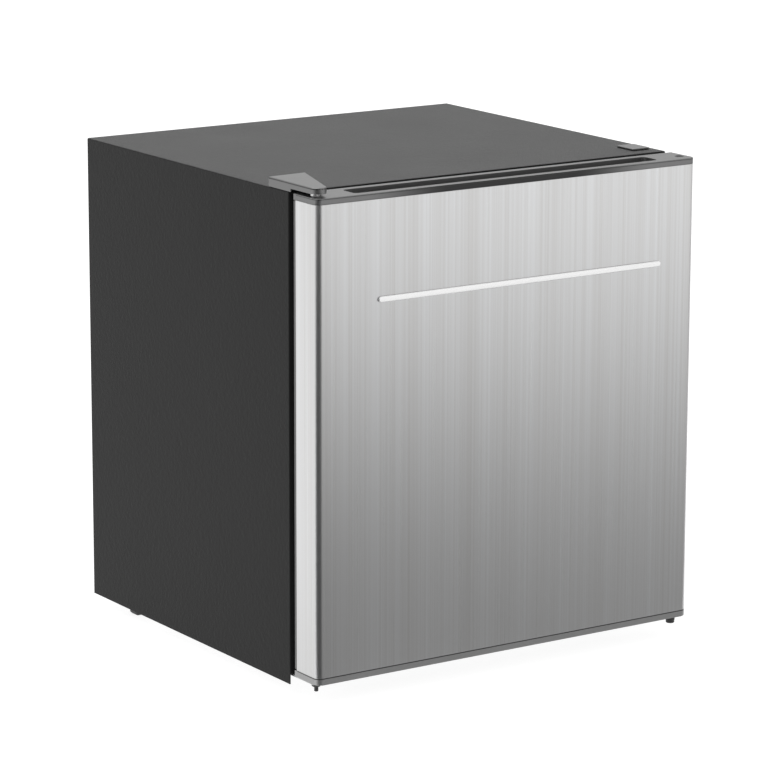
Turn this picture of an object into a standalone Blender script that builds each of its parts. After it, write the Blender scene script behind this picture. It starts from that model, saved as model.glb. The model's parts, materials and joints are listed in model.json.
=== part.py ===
# Cube refrigerator with one stainless door, hinged on the left of someone facing it.
# Metres, +Z up, door towards -Y. The origin is on the floor under the middle of the whole object.
import math

import bmesh
import bpy
from mathutils import Matrix, Vector

# ---- driving sizes -------------------------------------------------------------------------
CABINET_WIDTH = 0.445
CABINET_DEPTH = 0.385
CABINET_TOP = 0.493
SKIRT_BOTTOM = 0.012  # lower edge of the side panels
FRAME_BOTTOM = 0.0223  # lower edge of the front frame and base
OVERALL_DEPTH = 0.461  # trim strip to condenser spacers
TRIM_PROUD = 0.0505  # foremost point, ahead of the cabinet's front plane

GAP = 0.0003  # left between pieces that touch
SHEET = 0.0008  # cabinet steel
HALF = CABINET_WIDTH / 2
FRONT_Y = TRIM_PROUD - OVERALL_DEPTH / 2  # plane of the cabinet's front frame
INSIDE = HALF - SHEET  # inner face of the side panels
PANEL_HALF = INSIDE - GAP  # half width of pieces between the side panels

FRAME_OPENING_HALF = 0.2005  # front frame's opening
FRAME_OPENING_TOP = 0.471
RAIL_TOP = 0.044

STORAGE_HALF = 0.184  # inside of the liner
STORAGE_FLOOR = 0.058
STORAGE_TOP = 0.452
STORAGE_BACK = 0.345
STEP_FRONT = 0.208  # the floor steps up over the compressor
STEP_TOP = 0.222
LINER_WALL = 0.0015
RUNNER_REAR = 0.326  # how far back the moulded runners go
LOW_SHELF_Z = 0.146  # second place for the shelf

BAY_FRONT = 0.245  # compressor bay
BAY_ROOF = 0.183

DOOR_FRONT = -0.0485
DOOR_REAR = -0.012  # rear edge of the door's steel
LINER_REAR = -0.007  # rear face of the door liner's flange
CAP_REAR = -0.0085
DOOR_CORNER = 0.0065
DOOR_SHEET = 0.0007
SKIN_BOTTOM = 0.029
SKIN_TOP = 0.4868
CAP_BOTTOM = 0.0224

HINGE_X = -0.2138
HINGE_DEPTH = -0.033
PIN_RADIUS = 0.004
PIN_HOLE = 0.0043

SHELF_Z = 0.2313
SHELF_THICKNESS = 0.004
SHELF_FRONT = 0.088
DRIP_TRAY_BOTTOM = 0.330
DRIP_TRAY_HEIGHT = 0.017
DRIP_TRAY_FRONT = 0.112
FREEZER_LEFT = -0.162
FREEZER_RIGHT = 0.092
FREEZER_FRONT = 0.118
FREEZER_BOTTOM = 0.358
FLAP_AXIS_DEPTH = 0.101
FLAP_AXIS_Z = 0.443
KNOB_X = 0.140
KNOB_Z = 0.412
KNOB_DEPTH = 0.1247

FRONT_FOOT_X = 0.195
FRONT_FOOT_DEPTH = 0.060
REAR_FOOT_X = 0.197

COMPRESSOR_X = -0.060
COMPRESSOR_DEPTH = 0.318
MOUNT_SPREAD_X = 0.066
MOUNT_SPREAD_Y = 0.038

CONDENSER_DEPTH = 0.398
CONDENSER_BOTTOM = 0.205
CONDENSER_PITCH = 0.028
CONDENSER_RUNS = 10
CONDENSER_HALF = 0.165
TUBE_RADIUS = 0.0025


def behind(depth):
    # y of a place that lies this far behind the cabinet's front plane
    return FRONT_Y + depth


# ---- finishes ------------------------------------------------------------------------------
def dark_paint():
    return (0.045, 0.045, 0.047), 0.5, 0.0


def stainless():
    return (0.60, 0.60, 0.59), 0.32, 1.0


def chrome():
    return (0.90, 0.90, 0.90), 0.08, 1.0


def grey_plastic():
    return (0.20, 0.20, 0.205), 0.45, 0.0


def white_plastic():
    return (0.85, 0.86, 0.86), 0.35, 0.0


def clear_plastic():
    return (0.80, 0.84, 0.86), 0.15, 0.0


def seal_rubber():
    return (0.06, 0.06, 0.065), 0.75, 0.0


def black_plastic():
    return (0.02, 0.02, 0.02), 0.5, 0.0


def zinc_steel():
    return (0.55, 0.56, 0.57), 0.45, 0.9


def aluminium():
    return (0.75, 0.76, 0.77), 0.35, 1.0


def black_paint():
    return (0.015, 0.015, 0.016), 0.4, 0.0


def copper():
    return (0.80, 0.42, 0.25), 0.3, 1.0


def foam():
    return (0.85, 0.76, 0.50), 0.9, 0.0


def glass():
    return (0.80, 0.90, 0.88), 0.05, 0.0


# ---- making solids -------------------------------------------------------------------------
def clear_scene():
    for old in list(bpy.data.objects):
        bpy.data.objects.remove(old, do_unlink=True)


def finish_material(name, finish):
    colour, roughness, metallic = finish
    material = bpy.data.materials.new(name + "_finish")
    material.use_nodes = True
    shader = material.node_tree.nodes["Principled BSDF"]
    shader.inputs["Base Color"].default_value = (*colour, 1.0)
    shader.inputs["Roughness"].default_value = roughness
    shader.inputs["Metallic"].default_value = metallic
    return material


def link_object(name, data, finish):
    placed = bpy.data.objects.new(name, data)
    bpy.context.scene.collection.objects.link(placed)
    if finish is None:
        placed.hide_render = True
        placed.display_type = "WIRE"
    else:
        data.materials.append(finish_material(name, finish))
    return placed


def solid(name, shape, finish=None, rotation=(0, 0, 0), at=None):
    # the mesh is centred on its own origin, and the object carries it to its place
    corners = [vertex.co for vertex in shape.verts]
    if at is None:
        low = Vector([min(c[i] for c in corners) for i in range(3)])
        high = Vector([max(c[i] for c in corners) for i in range(3)])
        at = (low + high) / 2
        bmesh.ops.translate(shape, verts=shape.verts, vec=-at)
    bmesh.ops.recalc_face_normals(shape, faces=shape.faces)
    mesh = bpy.data.meshes.new(name)
    shape.to_mesh(mesh)
    shape.free()
    placed = link_object(name, mesh, finish)
    placed.location = at
    placed.rotation_euler = rotation
    return placed


def block(low, high):
    shape = bmesh.new()
    bmesh.ops.create_cube(shape, size=1.0)
    for vertex in shape.verts:
        for i in range(3):
            vertex.co[i] = (low[i] + high[i]) / 2 + vertex.co[i] * (high[i] - low[i])
    return shape


def prism(outline, axis, low, high):
    # outline lies in (y, z), (x, z) or (x, y) for an extrusion along X, Y or Z
    shape = bmesh.new()
    order = {"X": (2, 0, 1), "Y": (0, 2, 1), "Z": (0, 1, 2)}[axis]
    ends = []
    for level in (low, high):
        ends.append([shape.verts.new([(a, b, level)[i] for i in order]) for a, b in outline])
    for end in ends:
        shape.faces.new(end)
    count = len(outline)
    for i in range(count):
        after = (i + 1) % count
        shape.faces.new((ends[0][i], ends[0][after], ends[1][after], ends[1][i]))
    return shape


def turned(profile, sides, ring=False):
    # revolves (radius, height) points about Z; a ring closes on itself, a plain piece has flat ends
    shape = bmesh.new()
    rows = []
    for radius, height in profile:
        row = []
        for k in range(sides):
            angle = 2 * math.pi * k / sides
            row.append(shape.verts.new((radius * math.cos(angle), radius * math.sin(angle), height)))
        rows.append(row)
    pairs = list(zip(rows, rows[1:] + rows[:1] if ring else rows[1:]))
    for lower, upper in pairs:
        for k in range(sides):
            after = (k + 1) % sides
            shape.faces.new((lower[k], lower[after], upper[after], upper[k]))
    if not ring:
        shape.faces.new(rows[0])
        shape.faces.new(rows[-1])
    return shape


def soften(shape, width, steps, chosen=lambda middle: True):
    edges = [e for e in shape.edges if chosen((e.verts[0].co + e.verts[1].co) / 2)]
    bmesh.ops.bevel(shape, geom=edges, offset=width, segments=steps, profile=0.5, affect="EDGES")
    return shape


def combine(target, other, operation):
    change = target.modifiers.new(operation.lower() + "_" + other.name, "BOOLEAN")
    change.operation = operation
    change.object = other
    change.solver = "EXACT"
    other.hide_render = True
    other.display_type = "WIRE"
    return target


def cut(target, *cutters):
    for cutter in cutters:
        combine(target, cutter, "DIFFERENCE")
    return target


def join(target, *others):
    for other in others:
        combine(target, other, "UNION")
    return target


def drill(name, place, radius, low, high, sides=12):
    x, depth = place
    bore = solid(name, turned([(radius, low), (radius, high)], sides), at=(x, behind(depth), 0))
    return bore


def arc(centre, radius, start, end, steps):
    points = []
    for k in range(steps + 1):
        angle = math.radians(start + (end - start) * k / steps)
        points.append((centre[0] + radius * math.cos(angle), centre[1] + radius * math.sin(angle)))
    return points


def rounded_rectangle(low, high, radius, steps=3):
    points = []
    corners = (
        (high[0] - radius, high[1] - radius, 0),
        (low[0] + radius, high[1] - radius, 90),
        (low[0] + radius, low[1] + radius, 180),
        (high[0] - radius, low[1] + radius, 270),
    )
    for x, y, start in corners:
        points += arc((x, y), radius, start, start + 90, steps)
    return points


def filleted(route, radius, steps):
    # rounds each inner corner of a straight-sided route
    points = [Vector(route[0])]
    for before, here, after in zip(route, route[1:], route[2:]):
        here = Vector(here)
        arrive = (Vector(before) - here).normalized()
        leave = (Vector(after) - here).normalized()
        start = here + arrive * radius
        end = here + leave * radius
        for k in range(steps + 1):
            t = k / steps
            points.append((1 - t) ** 2 * start + 2 * t * (1 - t) * here + t**2 * end)
    points.append(Vector(route[-1]))
    return points


def tube(name, points, radius, finish, roundness=2):
    curve = bpy.data.curves.new(name, "CURVE")
    curve.dimensions = "3D"
    curve.bevel_depth = radius
    curve.bevel_resolution = roundness
    curve.use_fill_caps = True
    line = curve.splines.new("POLY")
    line.points.add(len(points) - 1)
    for spot, point in zip(line.points, points):
        spot.co = (*point, 1.0)
    return link_object(name, curve, finish)


def smooth(placed):
    placed.data.shade_smooth()
    placed.data.set_sharp_from_angle(angle=math.radians(35))
    return placed


def joint_axis(name, location):
    empty = bpy.data.objects.new(name, None)
    empty.location = location
    bpy.context.scene.collection.objects.link(empty)
    return empty


def hang(axis, *pieces):
    for piece in pieces:
        piece.parent = axis
        piece.matrix_parent_inverse = Matrix.Translation(-Vector(axis.location))


# ---- cabinet -------------------------------------------------------------------------------
TOP_SCREWS = ((-0.211, 0.012), (-0.197, 0.027))
BOTTOM_SCREWS = ((-0.207, 0.034), (-0.174, 0.034))
SCREW_HOLE = 0.0023


def screw_holes(name, places, low, high):
    return [drill(f"{name}_{i}", place, SCREW_HOLE, low, high, 10) for i, place in enumerate(places)]


def foot_holes(name, low, high):
    places = ((-FRONT_FOOT_X, FRONT_FOOT_DEPTH), (FRONT_FOOT_X, FRONT_FOOT_DEPTH))
    return [drill(f"{name}_{i}", place, 0.0034, low, high) for i, place in enumerate(places)]


def make_cabinet_shell():
    bend = 0.0012
    edge = 0.001
    outer = block((-HALF, FRONT_Y, SKIRT_BOTTOM), (HALF, behind(CABINET_DEPTH), CABINET_TOP))

    def folded(middle):
        on_side = abs(abs(middle.x) - HALF) < edge
        on_front = abs(middle.y - FRONT_Y) < edge
        on_top = abs(middle.z - CABINET_TOP) < edge
        return on_side + on_front + on_top == 2

    shell = solid("cabinet_shell", soften(outer, bend, 2, folded), dark_paint())
    over = 0.01
    hollow = block(
        (-INSIDE, FRONT_Y + SHEET, SKIRT_BOTTOM - over),
        (INSIDE, behind(CABINET_DEPTH) + over, CABINET_TOP - SHEET),
    )
    opening = block(
        (-FRAME_OPENING_HALF, FRONT_Y - over, SKIRT_BOTTOM - over),
        (FRAME_OPENING_HALF, FRONT_Y + over, FRAME_OPENING_TOP),
    )
    # below the frame only the two side skirts go on down
    toe = block(
        (-INSIDE, FRONT_Y - over, SKIRT_BOTTOM - over),
        (INSIDE, FRONT_Y + over, FRAME_BOTTOM),
    )
    cut(shell, solid("shell_hollow", hollow), solid("shell_opening", opening), solid("shell_toe", toe))
    cut(shell, *screw_holes("shell_screw_hole", TOP_SCREWS, CABINET_TOP - over, CABINET_TOP + over))


def storage_outline(grow, mouth):
    # the storage space from the side: flat floor, step over the compressor, back and roof
    return [
        (behind(mouth), STORAGE_FLOOR - grow),
        (behind(STEP_FRONT + grow), STORAGE_FLOOR - grow),
        (behind(STEP_FRONT + grow), STEP_TOP - grow),
        (behind(STORAGE_BACK + grow), STEP_TOP - grow),
        (behind(STORAGE_BACK + grow), STORAGE_TOP + grow),
        (behind(mouth), STORAGE_TOP + grow),
    ]


def make_cabinet_foam():
    low = (-PANEL_HALF, FRONT_Y + SHEET + GAP, FRAME_BOTTOM + SHEET + GAP)
    high = (PANEL_HALF, behind(CABINET_DEPTH) - SHEET - GAP, CABINET_TOP - SHEET - GAP)
    body = solid("cabinet_foam", block(low, high), foam())
    over = 0.02
    grow = LINER_WALL + GAP
    space = prism(storage_outline(grow, -over), "X", -STORAGE_HALF - grow, STORAGE_HALF + grow)
    rebate = block(
        (-FRAME_OPENING_HALF, FRONT_Y - over, RAIL_TOP),
        (FRAME_OPENING_HALF, FRONT_Y + grow, FRAME_OPENING_TOP),
    )
    bay = block(
        (-HALF, behind(BAY_FRONT) - GAP, 0),
        (HALF, behind(CABINET_DEPTH) + over, BAY_ROOF + SHEET + GAP),
    )
    cut(body, solid("foam_storage", space), solid("foam_rebate", rebate), solid("foam_bay", bay))
    cut(body, *screw_holes("foam_top_hole", TOP_SCREWS, 0.478, 0.5))
    cut(body, *screw_holes("foam_bottom_hole", BOTTOM_SCREWS, 0.02, 0.037))
    cut(body, *foot_holes("foam_foot_hole", 0.02, 0.040))


def runner(name, side, depths, heights, reach=0.008):
    wall = side * (STORAGE_HALF + LINER_WALL / 2)
    inner = side * (STORAGE_HALF - reach)
    low = (min(wall, inner), behind(depths[0]), heights[0])
    high = (max(wall, inner), behind(depths[1]), heights[1])
    return solid(name, block(low, high))


def make_inner_liner():
    low = (-FRAME_OPENING_HALF + GAP, FRONT_Y, RAIL_TOP + GAP)
    high = (FRAME_OPENING_HALF - GAP, FRONT_Y + LINER_WALL, FRAME_OPENING_TOP - GAP)
    liner = solid("inner_liner", block(low, high), white_plastic())
    half = STORAGE_HALF + LINER_WALL
    tub = prism(storage_outline(LINER_WALL, LINER_WALL / 2), "X", -half, half)
    join(liner, solid("liner_tub", tub))
    space = prism(storage_outline(0.0, -0.02), "X", -STORAGE_HALF, STORAGE_HALF)
    cut(liner, solid("liner_space", space))
    shelf_low = SHELF_Z - GAP
    over_shelf = SHELF_Z + SHELF_THICKNESS + 0.0047
    under_rim = DRIP_TRAY_BOTTOM + DRIP_TRAY_HEIGHT - 0.002 - GAP
    low_run = (0.030, STEP_FRONT - 0.013)
    for side, hand in ((-1, "left"), (1, "right")):
        join(
            liner,
            runner(f"runner_low_{hand}", side, low_run, (LOW_SHELF_Z, LOW_SHELF_Z + 0.004)),
            runner(f"runner_shelf_{hand}", side, (0.020, RUNNER_REAR), (shelf_low - 0.003, shelf_low)),
            runner(f"runner_keep_{hand}", side, (0.060, RUNNER_REAR), (over_shelf, over_shelf + 0.0035)),
            runner(f"runner_tray_{hand}", side, (0.030, RUNNER_REAR), (under_rim - 0.0037, under_rim), 0.007),
        )


def make_front_rail():
    low = (-FRAME_OPENING_HALF + GAP, FRONT_Y, FRAME_BOTTOM)
    high = (FRAME_OPENING_HALF - GAP, FRONT_Y + SHEET, RAIL_TOP)
    solid("lower_front_rail", block(low, high), dark_paint())


def make_base_panel():
    front = behind(SHEET + GAP)
    bay = behind(BAY_FRONT)
    rear = behind(CABINET_DEPTH) - SHEET - GAP
    outline = [
        (front, FRAME_BOTTOM),
        (bay + SHEET, FRAME_BOTTOM),
        (bay + SHEET, BAY_ROOF),
        (rear, BAY_ROOF),
        (rear, BAY_ROOF + SHEET),
        (bay, BAY_ROOF + SHEET),
        (bay, FRAME_BOTTOM + SHEET),
        (front, FRAME_BOTTOM + SHEET),
    ]
    panel = solid("base_panel", prism(outline, "X", -PANEL_HALF, PANEL_HALF), zinc_steel())
    cut(panel, *screw_holes("base_screw_hole", BOTTOM_SCREWS, 0.02, 0.03))
    cut(panel, *foot_holes("base_foot_hole", 0.02, 0.03))


def make_back_panel():
    low = (-PANEL_HALF, behind(CABINET_DEPTH) - SHEET, BAY_ROOF + SHEET + GAP)
    high = (PANEL_HALF, behind(CABINET_DEPTH), CABINET_TOP - SHEET - GAP)
    solid("back_panel", block(low, high), zinc_steel())


# ---- hinges, feet, top fittings ------------------------------------------------------------
def make_top_hinge_bracket():
    plate = 0.0022
    low = CABINET_TOP + GAP
    high = CABINET_TOP + 0.003  # the tongue is joggled up over the door
    nose = HINGE_DEPTH - 0.0055
    side_view = [
        (behind(0.031), low),
        (behind(0.003), low),
        (behind(-0.003), high),
        (behind(nose), high),
        (behind(nose), high + plate),
        (behind(-0.0036), high + plate),
        (behind(0.0024), low + plate),
        (behind(0.031), low + plate),
    ]
    left = -0.2192
    bracket = solid("top_hinge_bracket", prism(side_view, "X", left, -0.186), zinc_steel())
    tongue_right = 2 * HINGE_X - left
    plan = [(left, behind(0.032)), (-0.188, behind(0.032)), (tongue_right, behind(-0.020))]
    plan += arc((HINGE_X, behind(HINGE_DEPTH)), HINGE_X - left, 0, -180, 6)
    combine(bracket, solid("bracket_plan", prism(plan, "Z", low - 0.01, high + 0.01)), "INTERSECT")
    cut(bracket, *screw_holes("bracket_screw_hole", TOP_SCREWS, low - 0.01, high + 0.01))
    cut(bracket, drill("bracket_pin_hole", (HINGE_X, HINGE_DEPTH), 0.0033, low - 0.01, high + 0.01))


def make_top_hinge_pin():
    tongue = CABINET_TOP + 0.003
    profile = [
        (PIN_RADIUS - 0.001, 0.4775),
        (PIN_RADIUS, 0.4785),
        (PIN_RADIUS, CABINET_TOP + 0.0003),
        (0.0047, CABINET_TOP + 0.0004),
        (0.0047, tongue - GAP),
        (0.0030, tongue - GAP + 0.0001),
        (0.0030, tongue + 0.0025),
        (0.0045, tongue + 0.0026),
        (0.0040, tongue + 0.0040),
    ]
    smooth(solid("top_hinge_pin", turned(profile, 16), chrome(), at=(HINGE_X, behind(HINGE_DEPTH), 0)))


def screw(name, place, head_low, head_high, tip):
    # a pan-head screw; head_low is the side of the head that bears on the plate
    towards_tip = 1 if tip > head_low else -1
    profile = [
        (0.0030, head_high),
        (0.0040, head_high + towards_tip * 0.0010),
        (0.0040, head_low),
        (0.0020, head_low + towards_tip * 0.0001),
        (0.0020, tip - towards_tip * 0.0015),
        (0.0008, tip),
    ]
    smooth(solid(name, turned(profile, 12), zinc_steel(), at=(place[0], behind(place[1]), 0)))


def make_top_hinge_screws():
    bearing = CABINET_TOP + GAP + 0.0022 + GAP
    for name, place in zip(("front", "rear"), TOP_SCREWS):
        screw(f"top_hinge_screw_{name}", place, bearing, bearing + 0.0024, 0.480)


def cover_plan(inset):
    nose = (-0.2140, behind(-0.0375))
    radius = 0.0082 - inset
    left = nose[0] - radius
    back_left = (left, behind(0.036) - inset)
    back_right = (-0.1800 - inset * 1.2, behind(0.038) - inset)
    return [back_left, *arc(nose, radius, 180, 340, 8), back_right]


def make_top_hinge_cover():
    low = CABINET_TOP + GAP
    high = CABINET_TOP + 0.0095
    outer = prism(cover_plan(0.0), "Z", low, high)
    soften(outer, 0.0006, 2, lambda middle: middle.z > high - 0.001)
    cover = solid("top_hinge_cover", outer, grey_plastic())
    wall = 0.0014
    hollow = prism(cover_plan(wall), "Z", low - 0.01, high - 0.0016)
    # over the door the cover's lower edge is higher, clear of the door's cap
    relief = block(
        (-HALF - 0.01, behind(-0.08), low - 0.01),
        (-0.15, behind(-0.003), CABINET_TOP + 0.0034),
    )
    cut(cover, solid("cover_hollow", hollow), solid("cover_relief", relief))


def make_hinge_hole_plate():
    plan = rounded_rectangle((0.1955, behind(0.018)), (0.2165, behind(0.046)), 0.0025)
    shape = prism(plan, "Z", CABINET_TOP + GAP, CABINET_TOP + 0.0018)
    soften(shape, 0.0004, 2, lambda middle: middle.z > CABINET_TOP + 0.0015)
    solid("hinge_hole_plate", shape, grey_plastic())


def make_bottom_hinge_bracket():
    left = -0.2192
    tongue_right = 2 * HINGE_X - left
    front = behind(-0.012)
    rear = behind(FRONT_FOOT_DEPTH + 0.012)
    plan = [(left, rear), (-0.165, rear), (-0.165, front), (tongue_right, front)]
    plan += arc((HINGE_X, behind(HINGE_DEPTH)), HINGE_X - left, 0, -180, 6)
    low = FRAME_BOTTOM - GAP - 0.0022
    high = FRAME_BOTTOM - GAP
    bracket = solid("bottom_hinge_bracket", prism(plan, "Z", low, high), zinc_steel())
    cut(bracket, *screw_holes("low_bracket_screw_hole", BOTTOM_SCREWS, 0.01, 0.03))
    cut(bracket, drill("low_bracket_pin_hole", (HINGE_X, HINGE_DEPTH), 0.0033, 0.01, 0.03))
    cut(bracket, drill("low_bracket_foot_hole", (-FRONT_FOOT_X, FRONT_FOOT_DEPTH), 0.0034, 0.01, 0.03))
    plan = rounded_rectangle((0.165, front), (0.2192, rear), 0.003)
    mirror_bracket = solid("right_foot_bracket", prism(plan, "Z", low, high), zinc_steel())
    cut(mirror_bracket, drill("foot_bracket_hole", (FRONT_FOOT_X, FRONT_FOOT_DEPTH), 0.0034, 0.01, 0.03))


STUB_LOW = 0.0126  # lower end of the hinge pin and of the spare bush under the door


def make_bottom_hinge_pin():
    plate_low = FRAME_BOTTOM - GAP - 0.0022
    profile = [
        (0.0017, STUB_LOW),
        (0.0021, STUB_LOW + 0.0004),
        (0.0021, plate_low - 0.0023),
        (0.0040, plate_low - 0.0022),
        (0.0047, plate_low - 0.0012),
        (0.0047, plate_low - GAP),
        (0.0030, plate_low - GAP + 0.0001),
        (0.0030, FRAME_BOTTOM - 0.0002),
        (PIN_RADIUS, FRAME_BOTTOM),
        (PIN_RADIUS, 0.0375),
        (PIN_RADIUS - 0.001, 0.0385),
    ]
    place = (HINGE_X, behind(HINGE_DEPTH), 0)
    smooth(solid("bottom_hinge_pin", turned(profile, 16), black_paint(), at=place))


def make_bottom_hinge_screws():
    bearing = FRAME_BOTTOM - GAP - 0.0022 - GAP
    for name, place in zip(("left", "right"), BOTTOM_SCREWS):
        screw(f"bottom_hinge_screw_{name}", place, bearing, bearing - 0.0024, 0.034)


def make_front_feet():
    profile = [
        (0.0050, 0.0),
        (0.0058, 0.0008),
        (0.0056, 0.0030),
        (0.0032, 0.0042),
        (0.0030, 0.0050),
        (0.0030, 0.0370),
    ]
    for hand, side in (("left", -1), ("right", 1)):
        place = (side * FRONT_FOOT_X, behind(FRONT_FOOT_DEPTH), 0)
        foot = smooth(solid(f"front_foot_{hand}", turned(profile, 16), black_plastic(), at=place))
        hang(joint_axis(f"front_foot_{hand}_axis", place), foot)


def make_rear_feet():
    half = 0.011
    for hand, side in (("left", -1), ("right", 1)):
        x = side * REAR_FOOT_X
        shape = block((x - half, behind(0.321), 0), (x + half, behind(0.336), 0.0157))
        soften(shape, 0.0015, 1, lambda middle: middle.z < 0.001)
        solid(f"rear_foot_{hand}", shape, black_plastic())


# ---- refrigeration -------------------------------------------------------------------------
TRAY_LOW = 0.016
TRAY_SHEET = 0.0012


def mount_places():
    places = {}
    for end, dy in (("front", -1), ("rear", 1)):
        for hand, dx in (("left", -1), ("right", 1)):
            x = COMPRESSOR_X + dx * MOUNT_SPREAD_X
            places[f"{end}_{hand}"] = (x, COMPRESSOR_DEPTH + dy * MOUNT_SPREAD_Y)
    return places


def make_compressor_tray():
    outer = PANEL_HALF
    inner = PANEL_HALF - TRAY_SHEET
    lip = TRAY_LOW + 0.024
    outline = [
        (-outer, lip),
        (-outer, TRAY_LOW),
        (outer, TRAY_LOW),
        (outer, lip),
        (inner, lip),
        (inner, TRAY_LOW + TRAY_SHEET),
        (-inner, TRAY_LOW + TRAY_SHEET),
        (-inner, lip),
    ]
    tray = solid("compressor_tray", prism(outline, "Y", behind(0.250), behind(0.384)), zinc_steel())
    for name, place in mount_places().items():
        cut(tray, drill(f"tray_hole_{name}", place, 0.0041, 0.01, 0.02))


def make_compressor():
    # two pressed halves welded at a belt, oval from above
    stretch = 1.35
    profile = [
        (0.030, 0.0315),
        (0.044, 0.0380),
        (0.051, 0.0500),
        (0.052, 0.0880),
        (0.0545, 0.0885),
        (0.0545, 0.0935),
        (0.052, 0.0940),
        (0.050, 0.1250),
        (0.042, 0.1410),
        (0.026, 0.1490),
        (0.006, 0.1510),
    ]
    shape = turned(profile, 24)
    for vertex in shape.verts:
        vertex.co.x *= stretch
    centre = (COMPRESSOR_X, behind(COMPRESSOR_DEPTH), 0)
    body = smooth(solid("compressor", shape, black_paint(), at=centre))
    reach_x = MOUNT_SPREAD_X + 0.010
    reach_y = MOUNT_SPREAD_Y + 0.010
    plan = rounded_rectangle(
        (COMPRESSOR_X - reach_x, behind(COMPRESSOR_DEPTH - reach_y)),
        (COMPRESSOR_X + reach_x, behind(COMPRESSOR_DEPTH + reach_y)),
        0.008,
    )
    join(body, solid("compressor_plate", prism(plan, "Z", 0.030, 0.033)))
    for name, place in mount_places().items():
        cut(body, drill(f"plate_hole_{name}", place, 0.0043, 0.02, 0.045))


def make_compressor_mounts():
    low = TRAY_LOW + TRAY_SHEET + GAP
    high = 0.030 - GAP
    waist = (low + high) / 2
    rubber = [
        (0.0043, low),
        (0.0110, low),
        (0.0110, low + 0.003),
        (0.0085, waist),
        (0.0110, high - 0.003),
        (0.0110, high),
        (0.0043, high),
    ]
    bolt = [
        (0.0030, 0.0125),
        (0.0037, 0.0135),
        (0.0037, 0.0333),
        (0.0075, 0.0334),
        (0.0075, 0.0370),
        (0.0060, 0.0380),
    ]
    for name, place in mount_places().items():
        at = (place[0], behind(place[1]), 0)
        smooth(solid(f"compressor_mount_{name}", turned(rubber, 16, ring=True), seal_rubber(), at=at))
        solid(f"compressor_bolt_{name}", turned(bolt, 12), zinc_steel(), at=at)


def make_relay_cover():
    shape = block((0.014, behind(0.290), 0.066), (0.046, behind(0.336), 0.118))
    soften(shape, 0.004, 2, lambda middle: middle.x > 0.020)
    solid("relay_cover", shape, black_plastic())


def condenser_route():
    points = []
    bend = CONDENSER_PITCH / 2
    y = behind(CONDENSER_DEPTH)
    top = CONDENSER_BOTTOM + CONDENSER_PITCH * (CONDENSER_RUNS - 1)
    end = CONDENSER_HALF - 0.015
    points.append((end, y, top))
    for run in range(CONDENSER_RUNS - 1):
        side = -1 if run % 2 == 0 else 1
        middle = top - CONDENSER_PITCH * run - bend
        for k in range(7):
            angle = math.pi * k / 6
            x = side * (CONDENSER_HALF - bend + bend * math.sin(angle))
            points.append((x, y, middle + bend * math.cos(angle)))
    points.append((end, y, CONDENSER_BOTTOM))
    return points


def make_condenser():
    tube("condenser_coil", condenser_route(), TUBE_RADIUS, black_paint())


def make_condenser_screen(name, depth):
    # upright wires joined by a wire along the top and one along the bottom
    wire = 0.0014
    wires = 15
    half = CONDENSER_HALF - 0.017
    low = CONDENSER_BOTTOM - 0.009
    top = CONDENSER_BOTTOM + CONDENSER_PITCH * (CONDENSER_RUNS - 1) + 0.009
    edges = []
    for k in range(wires):
        x = -half + 2 * half * k / (wires - 1)
        edges += [x - wire / 2, x + wire / 2]
    heights = [low, low + wire, top - wire, top]
    shape = bmesh.new()
    grid = [[shape.verts.new((x, behind(depth), z)) for x in edges] for z in heights]
    for row in range(3):
        for column in range(len(edges) - 1):
            if row != 1 or column % 2 == 0:
                lower = grid[row][column : column + 2]
                upper = grid[row + 1][column : column + 2]
                shape.faces.new((lower[0], lower[1], upper[1], upper[0]))
    raised = bmesh.ops.extrude_face_region(shape, geom=shape.faces[:])
    moved = [item for item in raised["geom"] if isinstance(item, bmesh.types.BMVert)]
    bmesh.ops.translate(shape, verts=moved, vec=(0, wire, 0))
    solid(name, shape, black_paint())


def make_condenser_brackets():
    # folded strips that hold the coil off the back, with two bumps that keep the wall away
    sheet = 0.0012
    panel = behind(CABINET_DEPTH) + GAP
    web = behind(0.4050)
    spacer = OVERALL_DEPTH / 2
    for name, base, turn in (("top", 0.4700, 1), ("bottom", 0.1930, -1)):
        outline = [
            (panel, base),
            (web - sheet, base),
            (web - sheet, base - turn * 0.006),
            (web, base - turn * 0.006),
            (web, base + turn * sheet),
            (panel + sheet, base + turn * sheet),
            (panel + sheet, base + turn * 0.014),
            (panel, base + turn * 0.014),
        ]
        strip = solid(f"condenser_bracket_{name}", prism(outline, "X", -0.185, 0.185), black_paint())
        for hand, side in (("left", -1), ("right", 1)):
            x = side * 0.170
            ends = sorted((base - turn * 0.006, base + turn * sheet))
            bump = block((x - 0.008, web - sheet / 2, ends[0]), (x + 0.008, spacer, ends[1]))
            join(strip, solid(f"spacer_{name}_{hand}", bump))


def make_filter_drier():
    profile = [
        (0.0030, -0.048),
        (0.0032, -0.040),
        (0.0085, -0.032),
        (0.0085, 0.032),
        (0.0032, 0.040),
        (0.0030, 0.048),
    ]
    place = (0.188, behind(0.3965), 0.140)
    smooth(solid("filter_drier", turned(profile, 12), copper(), at=place))


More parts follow.
